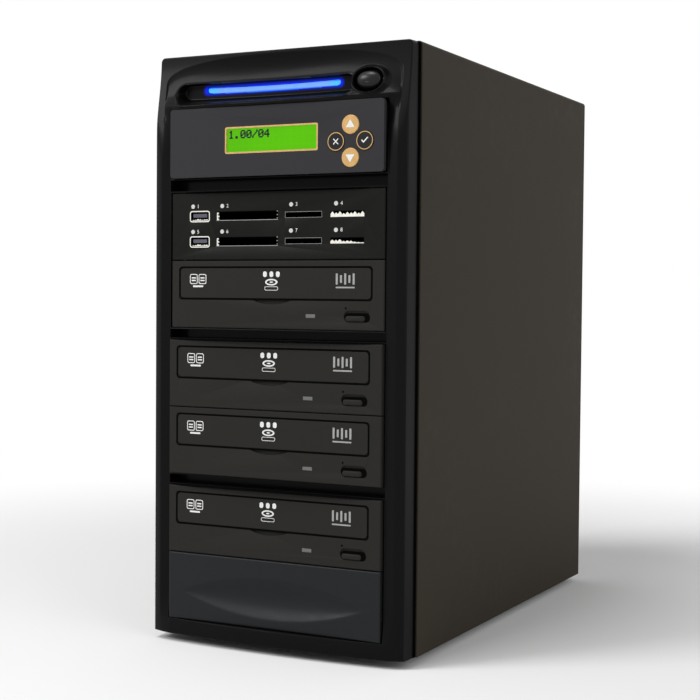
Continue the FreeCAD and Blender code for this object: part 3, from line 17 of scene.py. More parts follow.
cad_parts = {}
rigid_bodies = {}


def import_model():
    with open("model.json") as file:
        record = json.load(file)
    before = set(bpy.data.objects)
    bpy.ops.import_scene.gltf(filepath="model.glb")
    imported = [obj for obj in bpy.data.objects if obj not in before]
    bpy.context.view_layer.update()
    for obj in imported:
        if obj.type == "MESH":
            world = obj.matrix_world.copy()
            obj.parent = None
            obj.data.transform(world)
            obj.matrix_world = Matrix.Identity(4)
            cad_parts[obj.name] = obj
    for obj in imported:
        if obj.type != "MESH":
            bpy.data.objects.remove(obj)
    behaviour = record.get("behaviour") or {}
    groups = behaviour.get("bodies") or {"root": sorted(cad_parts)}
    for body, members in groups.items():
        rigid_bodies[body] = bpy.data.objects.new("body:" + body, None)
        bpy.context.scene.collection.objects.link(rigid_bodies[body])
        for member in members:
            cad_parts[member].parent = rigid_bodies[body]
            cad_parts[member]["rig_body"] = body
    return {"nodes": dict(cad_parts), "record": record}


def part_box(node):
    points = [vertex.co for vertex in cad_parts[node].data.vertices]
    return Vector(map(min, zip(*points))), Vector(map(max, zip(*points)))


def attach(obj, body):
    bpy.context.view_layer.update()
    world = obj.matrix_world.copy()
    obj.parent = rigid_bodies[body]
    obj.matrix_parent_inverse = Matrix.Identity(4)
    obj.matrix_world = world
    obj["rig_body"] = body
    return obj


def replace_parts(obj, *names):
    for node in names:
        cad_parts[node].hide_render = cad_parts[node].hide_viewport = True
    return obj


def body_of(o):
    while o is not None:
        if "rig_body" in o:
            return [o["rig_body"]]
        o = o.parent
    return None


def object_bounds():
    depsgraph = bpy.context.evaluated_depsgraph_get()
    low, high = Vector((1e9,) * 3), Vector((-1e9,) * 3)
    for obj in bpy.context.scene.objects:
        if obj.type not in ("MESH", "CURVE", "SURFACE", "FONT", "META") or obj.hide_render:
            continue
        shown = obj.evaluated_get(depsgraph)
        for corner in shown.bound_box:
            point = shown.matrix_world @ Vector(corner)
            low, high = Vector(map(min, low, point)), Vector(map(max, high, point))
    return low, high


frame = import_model()
CAD_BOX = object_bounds()

bl_info = {
    "name": "Disc Tower Looks",
    "version": (1, 0, 0),
    "blender": (4, 5, 0),
    "location": "3D View > Sidebar > Disc Tower",
    "description": "Dresses the packed model of a disc copying tower",
    "category": "Object",
}

MM = 0.001
DRIVES = (1, 2, 3, 4)
TOWER = "tower"
WHITE = (1, 1, 1, 1)
FINISHES = {}

# Points of the CAD surfaces, and of the new ones, that lie closer than this are one
CAD_WELD = 0.002 * MM
NEW_WELD = 0.001 * MM

# How far ink and thin plates reach into the face they lie on, in millimetres
INK_ROOT = 0.1

# Depths of the rings of painted shade in the joints and of the dull edges, in front of their face and behind
# it, in millimetres
SHADE_RING_LAYER = (-0.02, 0.2)
EDGE_LAYER = (-0.05, 0.3)


def of_drives(part):
    """The node of a part of each drive."""
    return [f"drive_{number}_{part}" for number in DRIVES]


# Nodes whose moulded or folded edges are rounded, by the radius in millimetres
EDGE_RADII = {
    0.1: ("flash_sockets", "small_card_sockets"),
    0.15: ("usb_sockets",),
    0.2: ("chassis_frame", "key_up", "key_down", "key_back", "key_ok", "drive_leds"),
    0.25: ("outer_cover", "card_reader_face", "psu_case", *of_drives("bezel")),
    0.3: ("power_inlet", "switch_housing", *of_drives("tray"), *of_drives("turntable")),
    0.35: ("lcd_panel", *of_drives("tray_door")),
    0.4: ("fan_frames", "rocker_switch"),
    0.5: ("rubber_feet",),
}

# Rows of a five by seven dot character, each row the sum of its lit columns as powers of two
DOT_ROWS = {
    "0": (14, 17, 19, 21, 25, 17, 14),
    "1": (4, 12, 4, 4, 4, 4, 14),
    "4": (2, 6, 10, 18, 31, 2, 2),
    "/": (1, 1, 2, 4, 8, 16, 16),
    ".": (0, 0, 0, 0, 0, 12, 12),
}

# Plain marks of a door: finish, then each outline, the hole in it or none, its height above the foot of the
# marks and its places across. An outline is its kind and its sizes, in millimetres.
DOOR_MARKS = {
    "frames": ("white_ink", (
        (("box", 5.6, 6.2, 1.2), ("box", 4.6, 5.2, 0.8), 6.2, (-57.8, -51.4)),
        (("box", 3.2, 0.8, 0.35, 4), None, 6.9, (-57.8, -51.4)),
        (("box", 3.2, 0.8, 0.35, 4), None, 5.3, (-57.8, -51.4)),
        (("box", 7.6, 1.1, 0.5, 4), None, 1.7, (-54.6,)))),
    "ring": ("white_ink", (
        (("oval", 4.3, 2.0), ("oval", 3.2, 1.15), 4.4, (-2.1,)),
        (("oval", 1.2, 0.45, 2.0, 24), None, 4.4, (-2.1,)),
        (("box", 2.6, 3.4, 1.1), None, 9.2, (-6.6, -2.1, 2.4)),
        (("box", 9.4, 2.4, 1.0), ("box", 8.8, 1.8, 0.8), 0.6, (-2.1,)))),
    "bars": ("grey_ink", (
        (("box", 1.3, 6.6, 0.3, 3), None, 6.4, (42.6, 48.2, 53.8)),
        (("box", 1.3, 4.6, 0.3, 3), None, 6.4, (45.4, 51.0)),
        (("box", 12.6, 0.9, 0.35, 4), None, 1.4, (48.2,)))),
}

# Soft boxes of the stage: place and size in metres, and power in watts
LAMPS = {
    "key": ((-1.3, -1.5, 1.3), 0.8, 21),
    "fill": ((1.9, -0.6, 0.9), 1.6, 9),
    "top": ((-0.3, -0.8, 1.9), 0.7, 15),
}


def colour_property(name, description, default):
    """A colour that the user can change."""
    return FloatVectorProperty(name=name, description=description, default=default, subtype="COLOR",
                               size=3, min=0, max=1)


def length_property(name, description, millimetres):
    """A length that the user can change, shown in the scene's unit."""
    return FloatProperty(name=name, description=description, default=millimetres * MM, unit="LENGTH", min=0,
                         precision=5)


def angle_property(name, description, default):
    """An angle that the user can change."""
    return FloatProperty(name=name, description=description, default=default, subtype="ANGLE")


class ShellSettings(bpy.types.PropertyGroup):
    """Colours and grain of the case, the bezel and the drive fronts."""

    case_colour: colour_property("Case", "Paint of the steel case", (0.036, 0.029, 0.021))
    bezel_colour: colour_property("Bezel", "Moulded front frame", (0.0026, 0.0026, 0.0028))
    drive_colour: colour_property("Drive fronts", "Front plates and doors", (0.022, 0.021, 0.0188))
    panel_colour: colour_property("Control panel", "Plate of the control panel", (0.034, 0.034, 0.037))
    blank_colour: colour_property("Blank", "Plate of the unused bay", (0.011, 0.0118, 0.013))
    reader_colour: colour_property("Card reader", "Plate of the card reader", (0.0105, 0.0105, 0.0098))
    grain_depth: FloatProperty(name="Grain depth", description="Depth of the moulded and painted grain",
                               default=0.35, subtype="FACTOR", min=0, max=1)


class BezelSettings(bpy.types.PropertyGroup):
    """The moulded front frame: places from its middle or foot, depths back from the drive fronts."""

    cell: length_property("Point spacing", "Distance between the points of the surface", 0.42)
    edge_round: length_property("Edge rounding", "Radius of the outer edges", 0.8)
    opening_round: length_property("Opening rounding", "Radius of the edges of the openings", 0.4)
    corner_round: length_property("Top corners", "Radius of the top corners, seen from the front", 3)
    opening_half: length_property("Opening", "Half the width of the openings", 74.9)
    ridge_place: length_property("Ridge", "Distance of each cheek's ridge from the middle", 81.6)
    corner_place: length_property("Corner", "Distance of the front's outer edge from the middle", 87.5)
    side_place: length_property("Side", "Distance of each side's back edge from the middle", 88.3)
    back_place: length_property("Back", "Depth of the bezel's back", 16.5)
    channel_depth: length_property("Channel", "Depth of the dark channel along each bar", 13)
    lip_depth: length_property("Bar lips", "Depth of the thin lips along each bar", 2.1)
    recess_floor: length_property("Recess floor", "Depth of the floor of the light's recess", 13.4)
    well_floor: length_property("Well floor", "Depth of the floor round the power button", 10.5)
    bead: length_property("Bead", "Height of the bead round the recess and the well", 0.5)


class LightSettings(bpy.types.PropertyGroup):
    """The lit strip in the header, and the glow painted round it on the bezel's recess."""

    strip_colour: colour_property("Strip", "Colour of the lit strip", (0.01, 0.42, 1.0))
    # The glow is painted light: emission on the bezel that stands in for the light the strip throws on its
    # recess.
    glow_colour: colour_property("Glow", "Colour thrown on the recess round the strip", (0.0, 0.02, 0.9))
    strength: FloatProperty(name="Strength", description="Brightness of the strip", default=1.0, min=0)
    glow_reach: length_property("Glow reach", "How far the glow spreads from the strip", 4.6)


class DisplaySettings(bpy.types.PropertyGroup):
    """The display and the keys beside it."""

    screen_colour: colour_property("Screen", "Backlit ground of the display", (0.09, 0.56, 0.0))
    ink_colour: colour_property("Dots", "Dark dots of the characters", (0.0, 0.012, 0.004))
    gold_colour: colour_property("Gold", "Gold print and key caps", (0.62, 0.37, 0.13))
    border_width: length_property("Border", "Width of the gold line round the screen", 1.0)
    dot_pitch: length_property("Dot pitch", "Distance between the dots of a character", 0.7)
    key_ring_width: length_property("Key ring", "Width of the gold ring on the dark keys", 0.5)


class PrintSettings(bpy.types.PropertyGroup):
    """Plain printed marks on the doors and the card reader."""

    white: colour_property("White print", "Ink of the marks", (0.80, 0.80, 0.78))
    grey: colour_property("Grey print", "Ink of the paler marks", (0.36, 0.36, 0.35))
    film: length_property("Ink thickness", "How far the ink stands proud", 0.04)
    digit_height: length_property("Digit height", "Height of the digits beside the lamps", 3.2)


class StageSettings(bpy.types.PropertyGroup):
    """The camera and the floor."""

    place: FloatVectorProperty(name="Camera place", description="Where the camera stands", size=3,
                               subtype="TRANSLATION", default=(0.44436, -0.92723, 0.2183))
    azimuth: angle_property("Azimuth", "How far the view is turned from the front", 0.471295)
    dip: angle_property("Dip", "How far the view looks down", 0.036333)
    roll: angle_property("Roll", "How far the view leans", 0.0083459)
    lens: FloatProperty(name="Lens", description="Focal length on a sensor 36 mm wide", default=75.42, min=1)
    floor_colour: colour_property("Floor", "Pale floor", (0.93, 0.93, 0.93))


def settings(name):
    """One group of the scene's settings."""
    return getattr(bpy.context.scene, f"tower_{name}")


class Box:
    """A box in millimetres, its sides named as seen from the front."""

    def __init__(self, low, high):
        self.left, self.front, self.foot = (value / MM for value in low)
        self.right, self.back, self.top = (value / MM for value in high)
        self.width = self.right - self.left
        self.height = self.top - self.foot
        self.x = (self.left + self.right) / 2
        self.z = (self.foot + self.top) / 2


def box_of(node):
    """The box of a CAD node."""
    return Box(*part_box(node))


def colour4(colour, scale=1.0):
    """A colour with full alpha."""
    return (*[channel * scale for channel in colour], 1.0)


class Tree:
    """Builds a node tree from left to right."""

    def __init__(self, tree):
        self.tree = tree
        self.column = 0

    def add(self, kind, inputs=None, **options):
        """A node with its options, its inputs set to values or linked to sockets."""
        node = self.tree.nodes.new(f"ShaderNode{kind}")
        self.column += 1
        node.location = (180 * self.column, -120 * (self.column % 4))
        for key, value in options.items():
            setattr(node, key, value)
        self.fill(node, inputs or {})
        return node

    def fill(self, node, inputs):
        """Set a node's inputs, or link them where the value is another node's socket."""
        for key, value in inputs.items():
            if isinstance(value, bpy.types.NodeSocket):
                self.tree.links.new(value, node.inputs[key])
            else:
                node.inputs[key].default_value = value

    def maths(self, operation, first, second=0.0):
        """One sum on two numbers or sockets."""
        return self.add("Math", {0: first, 1: second}, operation=operation).outputs[0]

    def blend(self, mask, first, second):
        """A colour between two colours, as far as the mask says."""
        return self.add("Mix", {"Factor": mask, "A": first, "B": second}, data_type="RGBA").outputs["Result"]

    def ramp(self, value, low, high, out_low=0.0, out_high=1.0):
        """The value carried from one span to another, smoothly and within bounds."""
        spans = {"Value": value, "From Min": low, "From Max": high, "To Min": out_low, "To Max": out_high}
        return self.add("MapRange", spans, interpolation_type="SMOOTHSTEP").outputs["Result"]

    def noise(self, vector, scale, detail=2.0, **more):
        """Soft noise at a place."""
        inputs = {"Vector": vector, "Scale": scale, "Detail": detail, **more}
        return self.add("TexNoise", inputs).outputs["Fac"]

    def use(self, name, inputs):
        """The outputs of a shared shader group."""
        return self.add("Group", inputs, node_tree=shader_group(name)).outputs


def fine_grain(tree, source):
    """Fine moulded or painted grain: two sizes of noise, as a bump and as a mask."""
    density = tree.maths("DIVIDE", 1.0, source["Size"])
    fine = tree.noise(source["Vector"], density, 3.0, Roughness=0.6)
    cells = tree.add("TexVoronoi", {"Vector": source["Vector"], "Scale": density}, feature="SMOOTH_F1")
    height = tree.maths("ADD", fine, cells.outputs["Distance"])
    bump = tree.add("Bump", {"Height": height, "Strength": source["Depth"], "Distance": 0.06 * MM})
    return {"Normal": bump.outputs["Normal"], "Mask": fine}


def handling(tree, source):
    """Faint rubbed places: large soft noise, cut by a finer one into patches."""
    density = tree.maths("DIVIDE", 1.0, source["Size"])
    broad = tree.noise(source["Vector"], density, 5.0, Roughness=0.55, Distortion=0.4)
    fine = tree.noise(source["Vector"], tree.maths("MULTIPLY", density, 9.0), 4.0)
    return {"Mask": tree.maths("MULTIPLY", tree.ramp(broad, 0.42, 0.68), tree.ramp(fine, 0.35, 0.75))}


def settled_dust(tree, source):
    """Dust that settles on faces that look up, broken by noise."""
    upward = tree.add("SeparateXYZ", {"Vector": source["Normal"]}).outputs["Z"]
    noise = tree.noise(source["Vector"], 90.0, 6.0)
    return {"Mask": tree.maths("MULTIPLY", tree.ramp(upward, 0.55, 0.98), tree.ramp(noise, 0.3, 0.7))}


# Shared shader groups: what builds them, and their inputs and outputs
GROUPS = {
    "Fine Grain": (fine_grain, ("Vector", "Size", "Depth"), ("Normal", "Mask")),
    "Handling": (handling, ("Vector", "Size"), ("Mask",)),
    "Settled Dust": (settled_dust, ("Vector", "Normal"), ("Mask",)),
}


def shader_group(name):
    """A shared shader group, made at its first use."""
    if name in bpy.data.node_groups:
        return bpy.data.node_groups[name]
    group = bpy.data.node_groups.new(name, "ShaderNodeTree")
    build, inputs, outputs = GROUPS[name]
    for direction, labels in (("INPUT", inputs), ("OUTPUT", outputs)):
        for label in labels:
            kind = "Vector" if label in ("Vector", "Normal") else "Float"
            group.interface.new_socket(name=label, in_out=direction, socket_type=f"NodeSocket{kind}")
    tree = Tree(group)
    results = build(tree, group.nodes.new("NodeGroupInput").outputs)
    tree.fill(group.nodes.new("NodeGroupOutput"), results)
    return group


class Finish(Tree):
    """A new material with its shader and the object's own coordinates."""

    def __init__(self, name):
        self.material = bpy.data.materials.new(name)
        self.material.use_nodes = True
        super().__init__(self.material.node_tree)
        self.shader = self.tree.nodes["Principled BSDF"]
        self.place = self.add("TexCoord").outputs["Object"]

    def made(self, **inputs):
        """The finish with its shader's inputs set, each name written with underscores."""
        self.fill(self.shader, {name.replace("_", " "): value for name, value in inputs.items()})
        return self

    def beyond(self, axis, start):
        """Distance along an axis from a place in millimetres."""
        axes = self.add("SeparateXYZ", {"Vector": self.place}).outputs
        return self.maths("SUBTRACT", axes[axis], start * MM)


def moulded(name, colour, roughness=0.5, grain=0.35, depth=None, level=0.4, coat=0.0, rub=0.12, dusty=0.0):
    """Moulded plastic or paint: fine grain, colour and gloss that vary a little, dust on what looks up."""
    tint = 0.12
    finish = Finish(name)
    depth = settings("shell").grain_depth if depth is None else depth
    skin = finish.use("Fine Grain", {"Vector": finish.place, "Size": grain * MM, "Depth": depth})
    rubbed = finish.use("Handling", {"Vector": finish.place, "Size": 60 * MM})["Mask"]
    varied = finish.blend(skin["Mask"], colour4(colour, 1 - tint), colour4(colour, 1 + tint))
    if dusty:
        facing = finish.add("NewGeometry").outputs["Normal"]
        dust = finish.use("Settled Dust", {"Vector": finish.place, "Normal": facing})["Mask"]
        varied = finish.blend(finish.maths("MULTIPLY", dust, dusty), varied, (0.34, 0.32, 0.29, 1))
    return finish.made(Base_Color=varied, Roughness=finish.ramp(rubbed, 0.0, 1.0, roughness, roughness - rub),
                       Normal=skin["Normal"], Specular_IOR_Level=level, Coat_Weight=coat, Coat_Roughness=0.12)


def metal(name, colour, roughness=0.3, lay=(1.0, 1.0, 1.0), spangle=0.0):
    """Bare metal: streaks along one direction, or the crystal flowers of a zinc coat."""
    finish = Finish(name)
    stretched = finish.add("Mapping", {"Vector": finish.place, "Scale": lay}).outputs["Vector"]
    streaks = finish.noise(stretched, 900.0, 4.0)
    tone = finish.blend(streaks, colour4(colour, 0.86), colour4(colour, 1.08))
    if spangle:
        flowers = finish.add("TexVoronoi", {"Vector": finish.place, "Scale": 160.0}).outputs["Color"]
        grey = finish.add("SeparateColor", {"Color": flowers}).outputs["Red"]
        tone = finish.blend(finish.ramp(grey, 0.0, 1.0, 0.0, spangle), tone, colour4(colour, 0.6))
    bump = finish.add("Bump", {"Height": streaks, "Strength": 0.08, "Distance": 0.05 * MM}).outputs["Normal"]
    rough = finish.ramp(streaks, 0.2, 0.8, roughness * 0.75, roughness * 1.3)
    return finish.made(Base_Color=tone, Roughness=rough, Normal=bump, Metallic=1.0)


def lamp_glass(name, colour, strength):
    """A lit diffusing lamp: brighter and paler in its middle, with a faint cloudiness."""
    finish = Finish(name)
    bar = box_of("light_bar")
    height, width = bar.height * MM, bar.width * MM
    rise = finish.maths("ABSOLUTE", finish.beyond("Z", bar.z))
    across = finish.maths("ABSOLUTE", finish.beyond("X", bar.x))
    cloud = finish.ramp(finish.noise(finish.place, 250.0), 0.2, 0.8, 0.85, 1.0)
    body = finish.maths("MULTIPLY", finish.ramp(rise, height * 0.2, height * 0.5, 1.0, 0.0), cloud)
    run = finish.blend(finish.ramp(across, width * 0.38, width * 0.48), (0.12, 0.27, 1.0, 1), colour4(colour))
    lit = finish.blend(body, (0.0, colour[1] * 0.2, colour[2] * 0.9, 1), run)
    unlit = finish.blend(body, (0.02, 0.1, 0.4, 1), (0.1, 0.3, 0.7, 1))
    return finish.made(Emission_Color=lit, Base_Color=unlit, Emission_Strength=strength, Roughness=0.3)


def header_plastic(name, colour):
    """The bezel's plastic, with a painted glow: blue emission round the strip, in place of the light it
    throws on the recess.
    """
    light = settings("light")
    finish = moulded(name, colour, 0.36, 0.3, level=0.05, coat=0.06, rub=0.08)
    bar = box_of("light_bar")
    across = finish.maths("ABSOLUTE", finish.beyond("X", bar.x))
    end = finish.maths("MAXIMUM", finish.maths("SUBTRACT", across, bar.width / 2 * MM), 0.0)
    gap = finish.add("CombineXYZ", {"X": end, "Y": finish.beyond("Y", bar.front),
                                    "Z": finish.beyond("Z", bar.z)})
    away = finish.add("VectorMath", {0: gap.outputs[0]}, operation="LENGTH").outputs["Value"]
    # Painted glow: emission that fades with the distance from the strip.
    fall = finish.maths("POWER", finish.ramp(away, 1.5 * MM, light.glow_reach, 1.0, 0.0), 2.2)
    return finish.made(Emission_Color=finish.blend(fall, (0, 0, 0, 1), colour4(light.glow_colour)),
                       Emission_Strength=0.9)


def screen_glass(name):
    """Backlit display: bright green with a faint grid of character cells and a slow change of light."""
    display = settings("display")
    finish = Finish(name)
    screen = box_of("lcd_display")
    pitch = display.dot_pitch
    column = finish.maths("FRACT", finish.maths("DIVIDE", finish.beyond("X", screen.left), pitch * 6))
    row = finish.maths("FRACT", finish.maths("DIVIDE", finish.beyond("Z", screen.top), -pitch * 9))
    cells = finish.maths("MULTIPLY", finish.ramp(column, 0.8, 0.86, 1.0, 0.0),
                         finish.ramp(row, 0.76, 0.8, 1.0, 0.0))
    cloud = finish.ramp(finish.noise(finish.place, 30.0), 0.3, 0.7, 0.0, 0.08)
    edge = finish.ramp(finish.beyond("X", screen.left), 0.0, screen.width * MM, 0.1, 0.0)
    dim = finish.maths("ADD", finish.maths("ADD", finish.maths("MULTIPLY", cells, 0.05), cloud), edge)
    lit = finish.blend(dim, colour4(display.screen_colour), colour4(display.screen_colour, 0.45))
    unlit = finish.blend(dim, (0.03, 0.09, 0.0, 1), (0.02, 0.05, 0.0, 1))
    return finish.made(Emission_Color=lit, Base_Color=unlit, Emission_Strength=0.85, Roughness=0.18,
                       Specular_IOR_Level=0.1)


def circuit_board(name):
    """Green solder mask over copper runs."""
    finish = Finish(name)
    bricks = finish.add("TexBrick", {"Vector": finish.place, "Scale": 260.0, "Mortar Size": 0.12})
    runs = bricks.outputs["Fac"]
    bump = finish.add("Bump", {"Height": runs, "Strength": 0.2, "Distance": 0.03 * MM}).outputs["Normal"]
    return finish.made(Base_Color=finish.blend(runs, (0.02, 0.13, 0.05, 1), (0.05, 0.26, 0.1, 1)),
                       Normal=bump, Roughness=finish.ramp(runs, 0.0, 1.0, 0.35, 0.25))


def rubber(name):
    """Matt black rubber with a chalky bloom."""
    finish = Finish(name)
    bloom = finish.use("Handling", {"Vector": finish.place, "Size": 12 * MM})["Mask"]
    skin = finish.use("Fine Grain", {"Vector": finish.place, "Size": 0.5 * MM, "Depth": 0.5})["Normal"]
    return finish.made(Base_Color=finish.blend(bloom, (0.012, 0.012, 0.012, 1), (0.035, 0.034, 0.032, 1)),
                       Roughness=finish.ramp(bloom, 0.0, 1.0, 0.75, 0.9), Normal=skin)


def printed(name, colour, roughness=0.45):
    """Screen print: even ink, a little thin and uneven where the mesh left it."""
    finish = Finish(name)
    thin = finish.noise(finish.place, 2200.0)
    tone = finish.blend(finish.ramp(thin, 0.3, 0.8), colour4(colour), colour4(colour, 0.82))
    return finish.made(Base_Color=tone, Roughness=finish.ramp(thin, 0.3, 0.7, roughness, roughness + 0.12),
                       Specular_IOR_Level=0.3)


def gold_print(name, colour):
    """Gold bronze ink: half metallic flakes in a satin binder."""
    finish = Finish(name)
    flakes = finish.add("TexVoronoi", {"Vector": finish.place, "Scale": 5000.0}).outputs["Distance"]
    cloud = finish.noise(finish.place, 220.0, 3.0)
    mask = finish.maths("MULTIPLY", finish.ramp(flakes, 0.2, 0.7), finish.ramp(cloud, 0.3, 0.7, 0.4, 1.0))
    return finish.made(Base_Color=finish.blend(mask, colour4(colour), colour4(colour, 0.72)),
                       Roughness=finish.ramp(mask, 0.0, 1.0, 0.36, 0.5),
                       Metallic=finish.ramp(mask, 0.0, 1.0, 0.3, 0.15))


def frosted(name, colour):
    """Small frosted lamp window, unlit."""
    finish = Finish(name)
    cloud = finish.noise(finish.place, 1400.0, 3.0)
    return finish.made(Base_Color=finish.blend(cloud, colour4(colour, 0.85), colour4(colour)),
                       Roughness=finish.ramp(cloud, 0.3, 0.7, 0.3, 0.45))


def make_finishes():
    """Every finish, by the name of the record's material slot or of the look it stands for."""
    shell = settings("shell")
    display = settings("display")
    light = settings("light")
    ink = settings("print")
    return {
        "case_steel": moulded("Cover Paint", shell.case_colour, 0.5, 0.55, 0.3, 0.03, rub=0.06, dusty=0.02),
        "inner_steel": metal("Zinc Coated Steel", (0.55, 0.55, 0.54), 0.38, spangle=0.35),
        "bezel_plastic": header_plastic("Bezel Plastic And Painted Glow", shell.bezel_colour),
        "drive_plastic": moulded("Drive Plastic", shell.drive_colour, 0.5, 0.3, level=0.05),
        "panel_plastic": moulded("Panel Plastic", shell.panel_colour, 0.55, level=0.05),
        "reader_plastic": moulded("Reader Plastic", shell.reader_colour, 0.4, 0.3, level=0.05),
        "blank_plastic": moulded("Blank Plastic", shell.blank_colour, 0.42, level=0.16),
        "gloss_black": moulded("Polished Black", (0.006, 0.006, 0.007), 0.3, 0.6, 0.03, 0.22, 0.04, 0.03),
        "light_clear": lamp_glass("Lit Strip", light.strip_colour, light.strength),
        "screen_green": screen_glass("Display Glass"),
        "key_gold": gold_print("Gold Key", display.gold_colour),
        "gold_ink": gold_print("Gold Ink", display.gold_colour),
        "key_dark": moulded("Dark Key", (0.012, 0.012, 0.013), 0.4, 0.3, level=0.15),
        "board_green": circuit_board("Circuit Board"),
        "contact_metal": metal("Bright Nickel", (0.86, 0.84, 0.76), 0.25, (1.0, 8.0, 1.0)),
        "dull_metal": metal("Dull Nickel", (0.30, 0.30, 0.29), 0.35, (1.0, 8.0, 1.0)),
        "tongue_grey": moulded("Socket Tongue", (0.07, 0.07, 0.10), 0.45, 0.3),
        "black_plastic": moulded("Black Plastic", (0.010, 0.010, 0.010), 0.55, level=0.12),
        "grey_plastic": moulded("Grey Plastic", (0.22, 0.22, 0.215)),
        "rubber_black": rubber("Rubber"),
        "lamp_clear": frosted("Frosted Lamp", (0.62, 0.64, 0.62)),
        "lamp_grey": frosted("Grey Lamp", (0.13, 0.13, 0.126)),
        "cable_red": moulded("Cable Sheath", (0.32, 0.015, 0.012), 0.38, 1.2),
        "screw_zinc": metal("Zinc Screw", (0.6, 0.6, 0.57), 0.28, (6.0, 1.0, 6.0)),
        "white_ink": printed("White Ink", ink.white),
        "grey_ink": printed("Grey Ink", ink.grey),
        "faint_ink": printed("Faint Ink", (0.09, 0.09, 0.095)),
        "dot_ink": printed("Display Dots", display.ink_colour, 0.3),
        # Near black for painted shade: laid in joints, pockets, pin holes, the seam and the sockets' mouths,
        # where only shade falls.
        "shadow_black": moulded("Shadow Black", (0.0015, 0.0015, 0.0015), 0.8, level=0.02),
    }


def slot_of(node):
    """The record's material slot of a CAD node."""
    return next(part["material_slot"] for part in frame["record"]["subparts"] if part["node"] == node)


def finish_of(node):
    """The finish of a CAD node, which for some differs from its slot's."""
    # The metal socket shells are painted near black as painted shade, so their mouths look shaded inside.
    special = {"card_reader_face": "reader_plastic", "drive_leds": "lamp_grey", "usb_sockets": "shadow_black",
               "flash_sockets": "shadow_black", "small_card_sockets": "shadow_black"}
    return special.get(node, slot_of(node))


def dress(obj, finish):
    """Give an object one material."""
    obj.data.materials.clear()
    obj.data.materials.append(finish)


def placed(name, data):
    """A new object in the scene."""
    obj = bpy.data.objects.new(name, data)
    bpy.context.scene.collection.objects.link(obj)
    return obj


def link(name, mesh, body, slot, finish=None, angle=30):
    """A finished piece: smooth up to an angle, dressed in its finish or else its slot's, and riding its body.
    """
    mesh.name = name
    mesh.polygons.foreach_set("use_smooth", [True] * len(mesh.polygons))
    mesh.set_sharp_from_angle(angle=math.radians(angle))
    mesh.update()
    obj = placed(name, mesh)
    dress(obj, FINISHES[finish or slot])
    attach(obj, body)
    return obj


@contextmanager
def edited(mesh):
    """A mesh's points, edges and faces for editing, written back at the end."""
    shell = bmesh.new()
    shell.from_mesh(mesh)
    yield shell
    shell.to_mesh(mesh)
    shell.free()


def refined(node, radius):
    """A copy of a CAD node, merged into flat faces, with small rounds on its edges."""
    mesh = frame["nodes"][node].data.copy()
    with edited(mesh) as shell:
        bmesh.ops.remove_doubles(shell, verts=shell.verts, dist=CAD_WELD)
        bmesh.ops.dissolve_degenerate(shell, edges=shell.edges, dist=CAD_WELD)
        bmesh.ops.dissolve_limit(shell, angle_limit=math.radians(0.2), verts=shell.verts, edges=shell.edges)
    body = body_of(frame["nodes"][node])[0]
    obj = link(f"{node}_finished", mesh, body, slot_of(node), finish_of(node))
    bevel = obj.modifiers.new("Edges", "BEVEL")
    bevel.width = radius * MM
    bevel.segments = 2
    bevel.limit_method = "ANGLE"
    bevel.angle_limit = math.radians(32)
    bevel.harden_normals = True
    bevel.miter_outer = "MITER_ARC"
    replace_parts(obj, node)


def quads_between(rows, columns, wrap_rows=False, wrap_columns=True):
    """Corner numbers of the quads between neighbouring rows and columns of a grid of points."""
    row = np.arange(rows if wrap_rows else rows - 1)[:, None]
    column = np.arange(columns if wrap_columns else columns - 1)[None, :]
    after_row = (row + 1) % rows
    after_column = (column + 1) % columns
    corners = (row * columns + column, row * columns + after_column,
               after_row * columns + after_column, after_row * columns + column)
    return np.stack(corners, axis=-1).reshape(-1, 4)


def raw_mesh(points, faces):
    """A mesh in metres from points in millimetres."""
    mesh = bpy.data.meshes.new("piece")
    mesh.from_pydata((points * MM).tolist(), [], faces)
    return mesh


def solid_mesh(points, faces):
    """A mesh whose faces all point outwards."""
    mesh = raw_mesh(points.reshape(-1, 3), faces)
    with edited(mesh) as shell:
        bmesh.ops.remove_doubles(shell, verts=shell.verts, dist=NEW_WELD)
        bmesh.ops.recalc_face_normals(shell, faces=shell.faces)
    return mesh


def stacked(layers):
    """A closed solid through outlines of equal length, its first and last outline closed by one face."""
    rows, columns = layers.shape[:2]
    numbers = np.arange(rows * columns).reshape(rows, columns)
    faces = quads_between(rows, columns).tolist() + [numbers[0, ::-1].tolist(), numbers[-1].tolist()]
    return solid_mesh(layers, faces)


def joined(meshes):
    """Several meshes as one."""
    shell = bmesh.new()
    for mesh in meshes:
        shell.from_mesh(mesh)
        bpy.data.meshes.remove(mesh)
    whole = bpy.data.meshes.new("piece")
    shell.to_mesh(whole)
    shell.free()
    return whole


def rounded(width, height, corner, steps=8):
    """Outline of a rectangle with round corners: at each corner a quarter circle about its own centre."""
    turn = np.arange(4)[:, None] * np.pi / 2 + np.linspace(0, np.pi / 2, steps)[None, :]
    side = np.array((1, -1, -1, 1))[:, None] * (width / 2 - corner)
    lift = np.array((1, 1, -1, -1))[:, None] * (height / 2 - corner)
    return np.stack((side + corner * np.cos(turn), lift + corner * np.sin(turn)), axis=-1).reshape(-1, 2)


def oval(half_width, half_height, power=2.0, steps=64):
    """Outline of an oval: cosine and sine of an even turn, each raised to two over the power."""
    turn = np.linspace(0, 2 * np.pi, steps, endpoint=False)
    circle = np.stack((np.cos(turn), np.sin(turn)), axis=-1)
    return np.sign(circle) * np.abs(circle) ** (2 / power) * (half_width, half_height)


